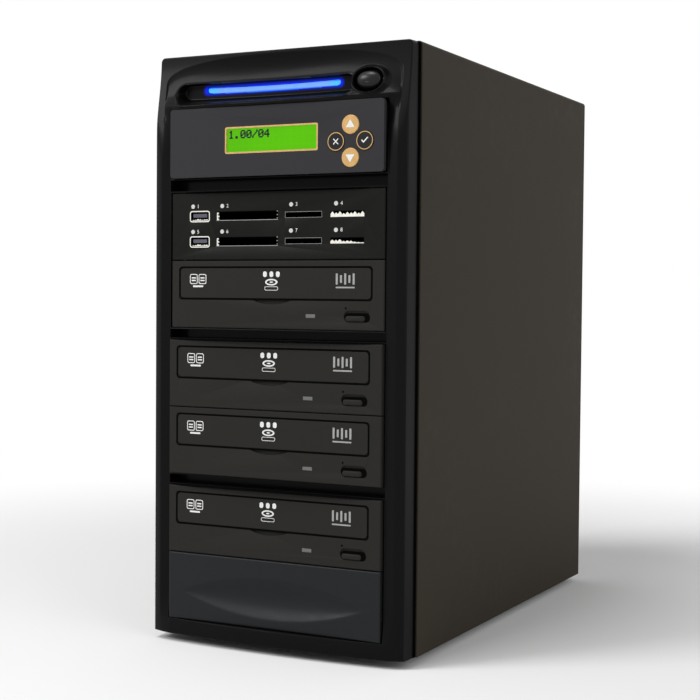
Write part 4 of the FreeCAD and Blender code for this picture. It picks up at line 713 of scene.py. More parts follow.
def softened(corners, radius, steps=5):
    """Outline of a polygon whose corners are quadratic curves between points on the two sides."""
    corners = np.array(corners, float)
    share = np.linspace(0, 1, steps)[None, :, None]
    start, end = (corners + side / np.linalg.norm(side, axis=1, keepdims=True) * radius
                  for side in (np.roll(corners, 1, axis=0) - corners, np.roll(corners, -1, axis=0) - corners))
    curve = ((1 - share) ** 2 * start[:, None] + 2 * share * (1 - share) * corners[:, None]
             + share ** 2 * end[:, None])
    return curve.reshape(-1, 2)


def upright(outline, x, depth, z):
    """An outline stood in the plane of the front, at its place and depth."""
    return np.stack((outline[:, 0] + x, np.full(len(outline), depth), outline[:, 1] + z), axis=-1)


def plate(outline, x, z, front, back):
    """A flat plate of an outline between two depths."""
    return stacked(np.stack((upright(outline, x, front, z), upright(outline, x, back, z))))


def band(outer, inner, x, z, front, back):
    """A flat ring between two outlines of equal length and two depths."""
    loop = np.stack((upright(outer, x, front, z), upright(inner, x, front, z),
                     upright(inner, x, back, z), upright(outer, x, back, z)))
    return solid_mesh(loop, quads_between(4, loop.shape[1], wrap_rows=True).tolist())


def dome(outline, x, z, front, rise, back, steps, flat_share=0.0):
    """A pillow over an outline: the outline shrinks as the cosine while its face rises as the sine."""
    turn = np.linspace(0, np.pi / 2 * 0.96, steps)[::-1]
    shrink = flat_share + (1 - flat_share) * np.cos(turn)
    level = front + rise * (1 - np.sin(turn))
    layers = [upright(outline * size, x, depth, z) for size, depth in zip(shrink, level)]
    return stacked(np.stack((*layers, upright(outline, x, back, z))))


def layer(face, span):
    """Front and back depth of a thin layer on a face."""
    return face + span[0], face + span[1]


def inked(face, films=1.0):
    """Front and back depth of ink on a face, as many films thick."""
    return face - films * settings("print").film / MM, face + INK_ROOT


def islands(node):
    """The boxes of a CAD node's separate pieces, row by row from the lowest, each row from the left."""
    shell = bmesh.new()
    shell.from_mesh(frame["nodes"][node].data)
    bmesh.ops.remove_doubles(shell, verts=shell.verts, dist=CAD_WELD)
    unseen = set(shell.verts)
    boxes = []
    while unseen:
        found = {unseen.pop()}
        edge = found
        while edge:
            edge = {other.other_vert(vert) for vert in edge for other in vert.link_edges} - found
            found |= edge
        unseen -= found
        points = np.array([vert.co for vert in found])
        boxes.append(Box(points.min(0), points.max(0)))
    shell.free()
    return sorted(boxes, key=lambda box: (round(box.foot), box.left))


class TOWER_OT_finishes(bpy.types.Operator):
    """Make every finish and give the model's own pieces theirs"""

    bl_idname = "tower.finishes"
    bl_label = "Finishes"

    def execute(self, context):
        FINISHES.update({slot: finish.material for slot, finish in make_finishes().items()})
        for node, obj in frame["nodes"].items():
            dress(obj, FINISHES[finish_of(node)])
        return {"FINISHED"}


class TOWER_OT_shells(bpy.types.Operator):
    """Round the moulded and folded edges of the case and the fronts"""

    bl_idname = "tower.shells"
    bl_label = "Rounded shells"

    def execute(self, context):
        for radius, nodes in EDGE_RADII.items():
            for node in nodes:
                refined(node, radius)
        return {"FINISHED"}


def smooth_step(value, low, high):
    """Zero below low and one above high, three squares less two cubes of the share between."""
    share = np.clip((value - low) / (high - low), 0, 1)
    return share * share * (3 - 2 * share)


def soft_larger(first, second, width):
    """The larger of two depths, joined by a hyperbola of a width."""
    return (first + second + np.sqrt((first - second) ** 2 + width ** 2)) / 2


def arc_depth(level, low, middle, high):
    """Depth at a level of the circle through three points, each a level and a depth."""
    first, second = low[0] - middle[0], low[1] - middle[1]
    third, fourth = low[0] - high[0], low[1] - high[1]
    near = (low[0] ** 2 - middle[0] ** 2 + low[1] ** 2 - middle[1] ** 2) / 2
    far = (low[0] ** 2 - high[0] ** 2 + low[1] ** 2 - high[1] ** 2) / 2
    spread = first * fourth - second * third
    centre_level = (near * fourth - second * far) / spread
    centre_depth = (first * far - near * third) / spread
    radius = np.hypot(low[0] - centre_level, low[1] - centre_depth)
    return centre_depth + np.sqrt(np.maximum(radius ** 2 - (level - centre_level) ** 2, 0))


def edge_rounding(distance, radius):
    """How far a quarter round of a radius falls back at a distance from its edge."""
    inside = np.clip(radius - distance, 0, radius)
    return radius - np.sqrt(radius ** 2 - inside ** 2)


def oblong_distance(x, z, centre, half, level, sag):
    """Distance from a level line of a half length, which sags in its middle as a parabola."""
    across = np.abs(x - centre)
    middle = level - sag * (1 - np.clip(across / half, 0, 1) ** 2)
    return np.hypot(np.maximum(across - half, 0), z - middle)


def oval_share(x, z, centre, level, half_width, half_height):
    """One on an oval, less inside: the power mean of both distances over its half sizes."""
    power = 2.2
    across = np.abs(x - centre) / half_width
    along = np.abs(z - level) / half_height
    return (across ** power + along ** power) ** (1 / power)


def near_edges(edges, radius):
    """Lines that crowd towards both sides of each edge, so that its rounding is drawn finely."""
    shares = np.array((0, 0.08, 0.3, 0.6, 1.0)) * radius
    return np.concatenate([edge + sign * shares for edge in edges for sign in (-1, 1)])


def tidy_lines(*groups):
    """All lines in order, without those that lie closer than the least step to the one before."""
    least_step = 0.04
    lines = np.unique(np.concatenate(groups))
    return lines[np.concatenate(((True,), np.diff(lines) > least_step))]


def front_shell(x, z, depth, keep, back, grow=1.0):
    """A moulded front: the surface over a grid of lines, with walls from every free edge to its back.

    Point (x, z) lies at its depth behind the plane of the drive fronts. Quads outside the mask are left out,
    and the back edges of the two sides are moved out by the growth.
    """
    sides_from = 84
    plane = box_of("bay_blank").front
    points = np.stack((x, plane + depth, z), axis=-1).reshape(-1, 3)
    quads = quads_between(*depth.shape, wrap_columns=False)[keep.reshape(-1)]
    used = np.unique(quads)
    number = np.zeros(len(points), int)
    number[used] = np.arange(len(used))
    mesh = raw_mesh(points[used], number[quads].tolist())
    with edited(mesh) as shell:
        rim = [edge for edge in shell.edges if edge.is_boundary]
        walls = bmesh.ops.extrude_edge_only(shell, edges=rim)["geom"]
        for vert in (item for item in walls if isinstance(item, bmesh.types.BMVert)):
            vert.co.y = (plane + back) * MM
            if abs(vert.co.x) > sides_from * MM:
                vert.co.x *= grow
        bmesh.ops.recalc_face_normals(shell, faces=shell.faces)
        shell.faces.ensure_lookup_table()
        if shell.faces[0].normal.y > 0:
            bmesh.ops.reverse_faces(shell, faces=shell.faces)
    return mesh


class BezelShape:
    """The bezel's front as a depth over place across and height, all in millimetres."""

    # The header's half width, the lip under its hollow, and the foot, height and power of its brow
    HEADER_HALF = 82.0
    LIP_TOP = 336.5
    ARCH_FOOT = 350.7
    ARCH_RISE = 15.3
    ARCH_POWER = 2.4
    # The place across from which the cheeks fall away, and the height above which the header begins
    CHEEK_FROM = 74.6
    HEADER_FROM = 200
    # Middle, half length and level of the light's recess, and middle and half sizes of the button's well
    RECESS = (-11.0, 56.0, 343.0)
    WELL = (61.5, 345.1, 10, 7.3)
    # Gap between a plate and its opening, and room round the button
    PLATE_GAP = 0.2
    BUTTON_GAP = 0.45
    # The channel of each bar: lip below it, lip above it, thickness of its walls and the lines that draw them
    LIPS = (1.0, 0.8)
    WALL = 0.3
    WALL_LINES = np.array((0, 0.08, 0.15, 0.22, 0.3))

    def __init__(self):
        group = settings("bezel")
        for key in group.bl_rna.properties.keys():
            if key not in ("rna_type", "name"):
                setattr(self, key, getattr(group, key) / MM)
        bezel = box_of("front_bezel")
        self.foot, self.top = bezel.foot, bezel.top
        pairs = (("bay_blank", "drive_4_bezel"), ("drive_3_bezel", "drive_2_bezel"),
                 ("drive_1_bezel", "card_reader_face"), ("lcd_panel", "lcd_panel"))
        self.windows = [(box_of(low).foot - self.PLATE_GAP, box_of(high).top + self.PLATE_GAP)
                        for low, high in pairs]
        self.bar_spans = [(low, high) for (_, low), (high, _) in zip(self.windows[:-1], self.windows[1:])]

    def fascia(self, z):
        """Side view of the top: two parabolas that lean back towards the top edge."""
        lower = np.clip((z - 292) / 51, -0.8, 1)
        upper = np.clip((z - 343) / 25, 0, 1)
        return 0.4 + 4.0 * lower + 2.4 * lower ** 2 + 4.5 * upper - 1.8 * upper ** 2

    def plan(self, x, z):
        """Plan view: a bowed bottom rail, and cheeks that fall away on both sides of a ridge."""
        across = np.abs(x)
        share = np.clip((across - self.CHEEK_FROM) / 12.9, 0, 1.1)
        foot = np.where(across < self.CHEEK_FROM, across ** 2 / 1430 - 3.5,
                        0.4 + 2.1 * share + 1.8 * share ** 2)
        outer = np.clip((across - self.ridge_place) / (self.corner_place - self.ridge_place), 0, 1.1) ** 1.25
        inner = np.clip((self.ridge_place - across) / 7.0, 0, 1.2)
        cheek = 2.0 + 2.3 * outer + 0.9 * inner
        return foot + (cheek - foot) * smooth_step(z, 9, 30) * smooth_step(across, 73, 75.5)

    def arch_distance(self, x, z):
        """Distance inside the brow: a superellipse above its foot, upright lines below."""
        power = self.ARCH_POWER
        across = np.abs(x) / self.HEADER_HALF
        along = np.maximum(z - self.ARCH_FOOT, 0) / self.ARCH_RISE
        share = np.maximum((across ** power + along ** power) ** (1 / power), 1e-6)
        slope = np.hypot((across / share) ** (power - 1) / self.HEADER_HALF,
                         (along / share) ** (power - 1) / self.ARCH_RISE)
        return (1 - share) / np.maximum(slope, 1e-6)

    def cove(self, x, z):
        """Hollow under the brow: at each place across, a circle through the lip, the hollow and the brow."""
        across = np.clip(np.abs(x) / self.HEADER_HALF, 0, 1)
        arch = self.ARCH_FOOT + self.ARCH_RISE * (1 - across ** self.ARCH_POWER) ** (1 / self.ARCH_POWER)
        lip = 6.2 * across ** 3.6 - 1
        brow = self.fascia(arch)
        hollow = lip + (brow - lip) * (0.88 + 0.237 * (1 - across ** 2) ** 1.5)
        level = np.clip(z, self.LIP_TOP, arch)
        middle = self.LIP_TOP + 0.62 * (arch - self.LIP_TOP)
        return arc_depth(level, (self.LIP_TOP, lip), (middle, hollow), (arch, brow))

    def header(self, x, z, outer):
        """The hollow under the brow, carried smoothly into a sloping band beside the control panel."""
        slope = outer + 1.1 * smooth_step(self.HEADER_HALF - np.abs(x), 0, 7.4) * smooth_step(z, 288, 322)
        fade = np.where(np.abs(x) < self.CHEEK_FROM, 1, smooth_step(z, 325, 337))
        inside = slope + (self.cove(x, z) - slope) * fade
        return outer + (inside - outer) * smooth_step(self.arch_distance(x, z), 0, 0.6)

    def recess(self, x, z, depth):
        """Recess for the light: sloping walls between two oblongs, and a bead round its mouth."""
        centre, half, level = self.RECESS
        outside = oblong_distance(x, z, centre, half, level, 0.5)
        floor = oblong_distance(x, z, centre, half - 0.6, level + 2.7, 0.5)
        within = np.maximum(7 - outside, 0)
        beyond = np.maximum(floor - 4.3, 0)
        share = smooth_step(within / np.maximum(within + beyond, 1e-6), 0, 1)
        bead = self.bead * np.exp(-((outside - 7.3) / 0.55) ** 2)
        return depth + (np.maximum(self.recess_floor, depth) - depth) * share - bead

    def well(self, x, z, depth):
        """Oval well round the power button, on a low boss that squares it to the front."""
        share = oval_share(x, z, *self.WELL)
        level, half_height = self.WELL[1], self.WELL[3]
        boss = np.minimum(depth, 3.4 + 0.28 * (z - level))
        depth = depth + (boss - depth) * smooth_step(1.34 - share, 0, 0.3)
        bead = self.bead * np.exp(-((share - 1.05) * half_height / 0.5) ** 2)
        inside = smooth_step((1 - share) * half_height, 0, 0.9)
        return depth + (np.maximum(self.well_floor, depth) - depth) * inside - bead

    def bars(self, x, z, depth):
        """Bars between the openings: two thin lips with a deep channel between them."""
        across = smooth_step(self.opening_half + 0.4 - np.abs(x), 0, 0.5)
        for low, high in self.bar_spans:
            channel = (smooth_step(z, low + self.LIPS[0], low + self.LIPS[0] + self.WALL)
                       * smooth_step(high - self.LIPS[1] - z, 0, self.WALL))
            bar = self.lip_depth + (self.channel_depth - self.lip_depth) * channel
            depth = depth + (bar - depth) * across * (z >= low - 0.01) * (z <= high + 0.01)
        return depth

    def depth(self, x, z):
        """The whole front, its edges rounded at the openings and all round."""
        above = z > self.HEADER_FROM
        outer = soft_larger(self.plan(x, z), np.where(above, self.fascia(z), -20), 0.6)
        depth = np.where(above, self.header(x, z, outer), outer)
        header = z > self.windows[-1][1] - 0.5
        depth = np.where(header, self.recess(x, z, depth), depth)
        depth = np.where(header, self.well(x, z, depth), depth)
        depth = self.bars(x, z, depth)
        across = np.maximum(np.abs(x) - self.opening_half, 0)
        gaps = [np.hypot(across, np.maximum(np.maximum(low - z, z - high), 0)) for low, high in self.windows]
        depth = depth + edge_rounding(np.min(gaps, axis=0), self.opening_round)
        rim = np.minimum(np.minimum(self.corner_place - np.abs(x), self.top - z), z - self.foot)
        return depth + edge_rounding(np.maximum(rim, 0), self.edge_round)

    def mask(self, x, z):
        """Where the front has material: not in the openings, the light's slot or the button's hole."""
        keep = np.ones(x.shape, bool)
        for low, high in self.windows:
            keep &= ~((np.abs(x) < self.opening_half) & (z > low) & (z < high))
        strip = box_of("light_bar")
        button = box_of("power_button")
        slot = oblong_distance(x, z, strip.x, strip.width / 2 - 1.6, 346.5, 1.0)
        hole = oval_share(x, z, self.WELL[0], button.z, button.width / 2 + self.BUTTON_GAP,
                          button.height / 2 + self.BUTTON_GAP)
        return keep & (slot > 2.1) & (hole > 1)

    def lines(self):
        """Grid lines across and up, closer at every rounded edge."""
        half, edge = self.corner_place, self.opening_half
        across = tidy_lines(np.arange(-half, half, self.cell), (-edge, edge),
                            near_edges((-edge, edge), self.opening_round),
                            near_edges((-half, half), self.edge_round))
        ends = [level for window in self.windows for level in window]
        walls = [start + self.WALL_LINES for low, high in self.bar_spans
                 for start in (low + self.LIPS[0], high - self.LIPS[1] - self.WALL)]
        levels = tidy_lines(np.arange(self.foot, 285, 6), np.arange(285, 333, 1.6),
                            np.arange(ends[-1], self.top, self.cell), near_edges(ends, self.opening_round),
                            near_edges((self.foot, self.top), self.edge_round), np.array(ends), *walls)
        levels = levels[(levels >= self.foot - 1e-6) & (levels <= self.top + 1e-6)]
        return across[np.abs(across) <= half + 1e-6], levels

    def mesh(self):
        """The shell, its top corners rounded by drawing in the rows near the top."""
        x, z = np.meshgrid(*self.lines())
        depth = self.depth(x, z)
        keep = self.mask((x[:-1, :-1] + x[1:, 1:]) / 2, (z[:-1, :-1] + z[1:, 1:]) / 2)
        rise = np.clip(z - (self.top - self.corner_round), 0, self.corner_round)
        drawn = self.corner_round - np.sqrt(self.corner_round ** 2 - rise ** 2)
        return front_shell(x * (1 - drawn / self.corner_place), z, depth, keep, self.back_place,
                           self.side_place / self.corner_place)


class TOWER_OT_bezel(bpy.types.Operator):
    """The moulded bezel with its brow, recess, well, cheeks and channelled bars"""

    bl_idname = "tower.bezel"
    bl_label = "Bezel"

    def execute(self, context):
        bezel = link("front_bezel_finished", BezelShape().mesh(), TOWER, "bezel_plastic", angle=55)
        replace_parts(bezel, "front_bezel")
        self.seam()
        return {"FINISHED"}

    def seam(self):
        """A ring of painted shade in the joint between the bezel and the cover, just proud of the front
        sheet's edge.
        """
        lap, reach, proud = 0.16, 8, 0.05
        sheet = box_of("chassis_frame")
        width, height = sheet.width + lap, sheet.height + lap
        # Painted shade: near black, so that the bright front sheet does not show through the gap.
        ring = band(rounded(width, height, 0.6), rounded(width - reach, height - reach, 0.4), 0, sheet.z,
                    sheet.front - proud, box_of("outer_cover").front + proud)
        link("cover_seam", ring, TOWER, "bezel_plastic", "shadow_black")


class TOWER_OT_blank(bpy.types.Operator):
    """The plate of the unused bay with its wide scoop"""

    bl_idname = "tower.blank"
    bl_label = "Blank"

    def execute(self, context):
        edge, scoop_rise, thickness = 1.0, 18.2, 5
        blank = box_of("bay_blank")
        half = blank.width / 2
        across = tidy_lines(np.linspace(-half, half, 150), near_edges((-half, half), edge))
        levels = tidy_lines(np.linspace(blank.foot, blank.top, 60), near_edges((blank.foot, blank.top), edge))
        x, z = np.meshgrid(across[np.abs(across) <= half],
                           levels[(levels >= blank.foot) & (levels <= blank.top)])
        rim = np.minimum(half - np.abs(x), np.minimum(blank.top - z, z - blank.foot))
        depth = self.scoop(x, z, blank.foot + scoop_rise) + edge_rounding(rim, edge)
        mesh = front_shell(x, z, depth, np.ones((len(x) - 1, x.shape[1] - 1), bool), thickness)
        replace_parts(link("bay_blank_finished", mesh, TOWER, "blank_plastic", angle=50), "bay_blank")
        return {"FINISHED"}

    def scoop(self, x, z, level):
        """Lens-shaped hollow: it deepens slowly from its top edge and rises quickly to its bottom one."""
        half_width, half_height, deepest = 64, 12.8, 3.5
        rise, fall = 1.35, 1.3
        end = np.clip(1 - (x / half_width) ** 2, 0, 1)
        half = half_height * end ** 0.9
        share = np.clip((level + half - z) / np.maximum(2 * half, 1e-6), 0, 1)
        peak = (rise / (rise + fall)) ** rise * (fall / (rise + fall)) ** fall
        return deepest * end * share ** rise * (1 - share) ** fall / peak


class TOWER_OT_header(bpy.types.Operator):
    """The power button and its sign"""

    bl_idname = "tower.header"
    bl_label = "Power button"

    def execute(self, context):
        button = box_of("power_button")
        outline = oval(button.width / 2, button.height / 2, 2.15)
        cap = dome(outline, button.x, button.z, button.front, 3.4, button.back, 14)
        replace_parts(link("power_button_cap", cap, "power_button", "gloss_black"), "power_button")
        self.power_symbol(button)
        return {"FINISHED"}

    def power_symbol(self, button):
        """An open ring and a bar: the plain sign for power."""
        radius, width, length = 1.5, 0.16, 1.8
        depths = layer(button.front, (0.12, 0.8))
        turn = np.linspace(math.radians(125), math.radians(415), 40)
        outer = np.stack((np.cos(turn), np.sin(turn)), axis=-1)
        loop = np.concatenate((outer * (radius + width), outer[::-1] * (radius - width)))
        ring = plate(loop, button.x, button.z, *depths)
        bar = plate(rounded(2 * width, length, width, 4), button.x, button.z + radius * 0.75, *depths)
        link("power_symbol", joined([ring, bar]), "power_button", "gloss_black", "faint_ink")


class TOWER_OT_display(bpy.types.Operator):
    """The gold border and the characters of the display"""

    bl_idname = "tower.display"
    bl_label = "Display"

    def execute(self, context):
        border = settings("display").border_width / MM
        screen = box_of("lcd_display")
        inner = rounded(screen.width - 2 * border, screen.height - 2 * border, 0.7)
        ring = band(rounded(screen.width, screen.height, 1.2), inner, screen.x, screen.z,
                    box_of("lcd_panel").front - 0.03, screen.front + INK_ROOT)
        link("screen_border", ring, TOWER, "key_gold", "gold_ink")
        self.characters("1.00/04", screen.left + 2.6, screen.top - 2.5, screen.front - 0.05)
        return {"FINISHED"}

    def characters(self, text, left, top, depth):
        """Dots of a line of characters, each dot a small plate on the screen."""
        pitch = settings("display").dot_pitch / MM
        wide, high = pitch * 0.8, pitch * 0.62
        dots = []
        for number, letter in enumerate(text):
            lit = (np.array(DOT_ROWS[letter])[:, None] >> np.arange(4, -1, -1)[None, :]) & 1
            row, column = np.nonzero(lit)
            dots.append(np.stack((left + (number * 6 + column) * pitch, top - row * pitch), axis=-1))
        corner = np.array(((-wide, -high), (wide, -high), (wide, high), (-wide, high)))
        points = upright((np.concatenate(dots)[:, None, :] + corner).reshape(-1, 2), 0, depth, 0)
        mesh = raw_mesh(points, np.arange(len(points)).reshape(-1, 4).tolist())
        link("characters", mesh, TOWER, "screen_green", "dot_ink")


class TOWER_OT_keys(bpy.types.Operator):
    """The signs and rings on the four keys"""

    bl_idname = "tower.keys"
    bl_label = "Key signs"

    ARROW = ((-2.9, -1.7), (2.9, -1.7), (0, 2.9))
    TICK = ((-2.3, 0.1), (-1.8, 0.55), (-0.75, -0.5), (1.85, 2.0), (2.35, 1.55), (-0.75, -1.55))

    def execute(self, context):
        for node, sign in (("key_up", 1), ("key_down", -1)):
            arrow = softened(np.array(self.ARROW)[::sign] * (1, sign), 0.5)
            self.sign(node, [(arrow, 1.0)], "key_gold")
        bar = rounded(4.6, 0.62, 0.2, 3)
        rise, fall = (bar @ np.array(((math.cos(turn), math.sin(turn)), (-math.sin(turn), math.cos(turn))))
                      for turn in (math.radians(45), math.radians(-45)))
        self.sign("key_back", [(rise, 1.0), (fall, 1.2)], "key_dark")
        self.sign("key_ok", [(softened(self.TICK, 0.12, 3), 1.0)], "key_dark")
        for node in ("key_back", "key_ok"):
            self.ring(node)
        return {"FINISHED"}

    def sign(self, node, outlines, slot):
        """White print on a key, each outline as many films thick as it says."""
        key = box_of(node)
        plates = [plate(outline, key.x, key.z, *inked(key.front, films)) for outline, films in outlines]
        link(f"{node}_sign", joined(plates), node, slot, "white_ink")

    def ring(self, node):
        """Gold ring printed near the edge of a dark key."""
        key = box_of(node)
        radius = min(key.width, key.height) / 2 - 0.25
        inner = radius - settings("display").key_ring_width / MM
        mesh = band(oval(radius, radius), oval(inner, inner), key.x, key.z, *inked(key.front))
        link(f"{node}_ring", mesh, node, "key_dark", "gold_ink")


class TOWER_OT_reader(bpy.types.Operator):
    """The digits, contacts and tongues of the card reader"""

    bl_idname = "tower.reader"
    bl_label = "Card reader"

    # Heights of the notches of a wide slot above its foot, and lengths and heights of its contacts
    NOTCHES = (1.1, 3.1, 5.3)
    CONTACTS = ((1.6, 0.9), (0.9, 1.8), (1.8, 2.7), (0.9, 3.6), (1.4, 4.6))
    # Narrow slots to the right of this place show bright contacts
    BRIGHT_FROM = 35

    def execute(self, context):
        self.digits()
        for number, slot in enumerate(islands("usb_sockets"), start=1):
            self.serial_port(f"serial_port_{number}", slot)
        for number, slot in enumerate(islands("flash_sockets"), start=1):
            self.wide_slot(f"wide_slot_{number}", slot)
        for number, slot in enumerate(islands("small_card_sockets"), start=1):
            if slot.left > self.BRIGHT_FROM:
                self.bright_slot(f"narrow_slot_{number}", slot, number)
            else:
                self.edged_slot(f"narrow_slot_{number}", slot)
        return {"FINISHED"}

    def teeth(self, left, right, foot, heights, front):
        """A row of spring contacts: pointed strips of given heights side by side."""
        ends = np.linspace(left, right, len(heights) + 1)
        across = np.stack((ends[:-1], (ends[:-1] + ends[1:]) / 2, ends[1:]), axis=-1).reshape(-1)
        along = np.stack((heights * 0.55, heights, heights * 0.6), axis=-1).reshape(-1)
        top = np.stack((across, foot + along), axis=-1)[::-1]
        outline = np.concatenate((((left, foot), (right, foot)), top))
        return plate(outline, 0, 0, front, front + 0.4)

    def serial_port(self, name, slot):
        """A bright shell with round upper corners, a mouth of painted shade, its tongue and its contacts."""
        wall, room = 1.3, 1.6
        inner = rounded(slot.width - wall, slot.height - wall, 1.1)
        ring = band(rounded(slot.width, slot.height, 1.6), inner, slot.x, slot.z,
                    *layer(slot.front, (-0.12, 0.5)))
        heights = np.random.default_rng(3).uniform(0.6, 1.5, 7)
        row = self.teeth(slot.left + room, slot.right - room, slot.foot + 0.8, heights, slot.front + 0.3)
        # The mouth is a plate of painted shade that hides the inside of the port.
        mouth = plate(inner, slot.x, slot.z, *layer(slot.front, (0.8, 0.95)))
        tongue = plate(rounded(slot.width - 4.6, 2.2, 0.3), slot.x, slot.z + 0.5,
                       *layer(slot.front, (0.35, 0.85)))
        link(f"{name}_shell", joined([ring, row]), TOWER, "contact_metal")
        link(f"{name}_mouth", mouth, TOWER, "contact_metal", "shadow_black")
        link(f"{name}_tongue", tongue, TOWER, "contact_metal", "tongue_grey")

    def wide_slot(self, name, slot):
        """A mouth black with painted shade, with a dull metal edge below it, notches at one end and contacts
        at the other.
        """
        depths = layer(slot.front, EDGE_LAYER)
        edges = [plate(rounded(slot.width, 0.35, 0.1), slot.x, slot.foot + 0.2, *depths)]
        edges += [plate(rounded(0.7, 0.6, 0.2, 3), slot.right - 0.5, slot.foot + rise, *depths)
                  for rise in self.NOTCHES]
        blades = [plate(rounded(length, 0.9, 0.3, 3), slot.left + 0.4 + length / 2, slot.foot + rise, *depths)
                  for length, rise in self.CONTACTS]
        link(f"{name}_edge", joined(edges), TOWER, "contact_metal", "dull_metal")
        link(f"{name}_contacts", joined(blades), TOWER, "contact_metal")

    def edged_slot(self, name, slot):
        """A mouth black with painted shade, inside a thin dull metal line."""
        line = band(rounded(slot.width, slot.height, 0.4), rounded(slot.width - 0.4, slot.height - 0.4, 0.2),
                    slot.x, slot.z, *layer(slot.front, EDGE_LAYER))
        link(f"{name}_line", line, TOWER, "contact_metal", "dull_metal")

    def bright_slot(self, name, slot, seed):
        """Contacts that fill the lower part of a slot, lower towards one end in the lower slot."""
        upper = slot.foot > box_of("small_card_sockets").z
        fall = np.linspace(1, 1 if upper else 0.25, 9)
        heights = np.random.default_rng(seed).uniform(2.0, 3.3, 9) * fall
        row = self.teeth(slot.left, slot.right, slot.foot, heights, slot.front + EDGE_LAYER[0])
        link(f"{name}_contacts", row, TOWER, "contact_metal")

    def digits(self):
        """Plain digits beside the lamps, counted from the upper left."""
        face = box_of("card_reader_face").front
        lamps = sorted(islands("reader_leds"), key=lambda lamp: (-round(lamp.z), lamp.x))
        for number, lamp in enumerate(lamps, start=1):
            self.digit(f"reader_digit_{number}", str(number), lamp.x + 3.6, lamp.z, face)

    def digit(self, name, text, x, z, face):
        """A printed digit, set as text and turned into a flat mesh that faces the front."""
        ink = settings("print")
        curve = bpy.data.curves.new(name, "FONT")
        curve.body = text
        curve.size = ink.digit_height
        curve.align_x = "CENTER"
        curve.align_y = "CENTER"
        curve.extrude = ink.film
        holder = placed(name, curve)
        bpy.context.view_layer.update()
        mesh = bpy.data.meshes.new_from_object(holder.evaluated_get(bpy.context.evaluated_depsgraph_get()))
        bpy.data.objects.remove(holder)
        mesh.transform(Matrix.Translation(Vector((x, face, z)) * MM) @ Matrix.Rotation(math.pi / 2, 4, "X"))
        link(name, mesh, TOWER, "drive_plastic", "white_ink")


class TOWER_OT_drives(bpy.types.Operator):
    """The joints, pockets and pin holes in painted shade, the eject buttons and the printed marks of the
    drive fronts
    """

    bl_idname = "tower.drives"
    bl_label = "Drive fronts"

    # How far the foot of the marks lies below the top of the door
    MARKS_DROP = 13.0

    def execute(self, context):
        for number in DRIVES:
            drive = f"drive_{number}"
            face = box_of(f"{drive}_bezel").front
            self.marks(drive)
            self.joint(drive, face)
            self.eject(drive, face)
        return {"FINISHED"}

    def dark_ring(self, name, outer, inner, place, face):
        """A ring of painted shade in the face of a drive."""
        ring = band(outer, inner, place.x, place.z, *layer(face, SHADE_RING_LAYER))
        link(name, ring, TOWER, "drive_plastic", "shadow_black")

    def joint(self, drive, face):
        """The joint round the door, drawn as a ring of painted shade."""
        door = box_of(f"{drive}_tray_door")
        self.dark_ring(f"{drive}_door_joint", rounded(door.width + 2.1, door.height + 2.1, 2.4),
                       rounded(door.width + 0.1, door.height + 0.1, 1.6), door, face)

    def eject(self, drive, face):
        """The eject button, a small pillow low in a wider pocket of painted shade, and the hole for opening
        by hand, a dot of painted shade.
        """
        node = f"{drive}_eject_button"
        button = box_of(node)
        width, height = button.width, button.height
        left, drop = 0.9, 0.55
        pillow = dome(rounded(width - 2.4, height - 1.5, 1.5), button.x - left, button.z - drop,
                      button.front - 0.5, 0.9, button.back, 8, 0.2)
        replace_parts(link(f"{node}_cap", pillow, node, "drive_plastic"), node)
        # The pocket is a ring of painted shade, wider at the top and on the right where its shadow falls.
        self.dark_ring(f"{drive}_pocket", rounded(width + 1.5, height + 0.7, 2.5) + (0.4, 0.1),
                       rounded(width - 2.3, height - 1.4, 1.5) - (left, drop), button, face)
        # The pin hole is a dark dot of painted shade.
        hole = plate(oval(0.65, 0.65, steps=20), button.x - 7.2, button.z + 5.6, face - 0.03, face + INK_ROOT)
        link(f"{drive}_pin_hole", hole, TOWER, "drive_plastic", "shadow_black")

    def marks(self, drive):
        """Plain marks of the sizes that such a door carries: two frames, a ring and a row of bars."""
        kinds = {"box": rounded, "oval": oval}
        door = box_of(f"{drive}_tray_door")
        depths = inked(door.front)
        for name, (finish, shapes) in DOOR_MARKS.items():
            meshes = []
            for (kind, *sizes), hole, rise, places in shapes:
                outline = kinds[kind](*sizes)
                z = door.top - self.MARKS_DROP + rise
                for x in places:
                    if hole:
                        meshes.append(band(outline, kinds[hole[0]](*hole[1:]), x, z, *depths))
                    else:
                        meshes.append(plate(outline, x, z, *depths))
            link(f"{drive}_mark_{name}", joined(meshes), f"{drive}_tray", "drive_plastic", finish)


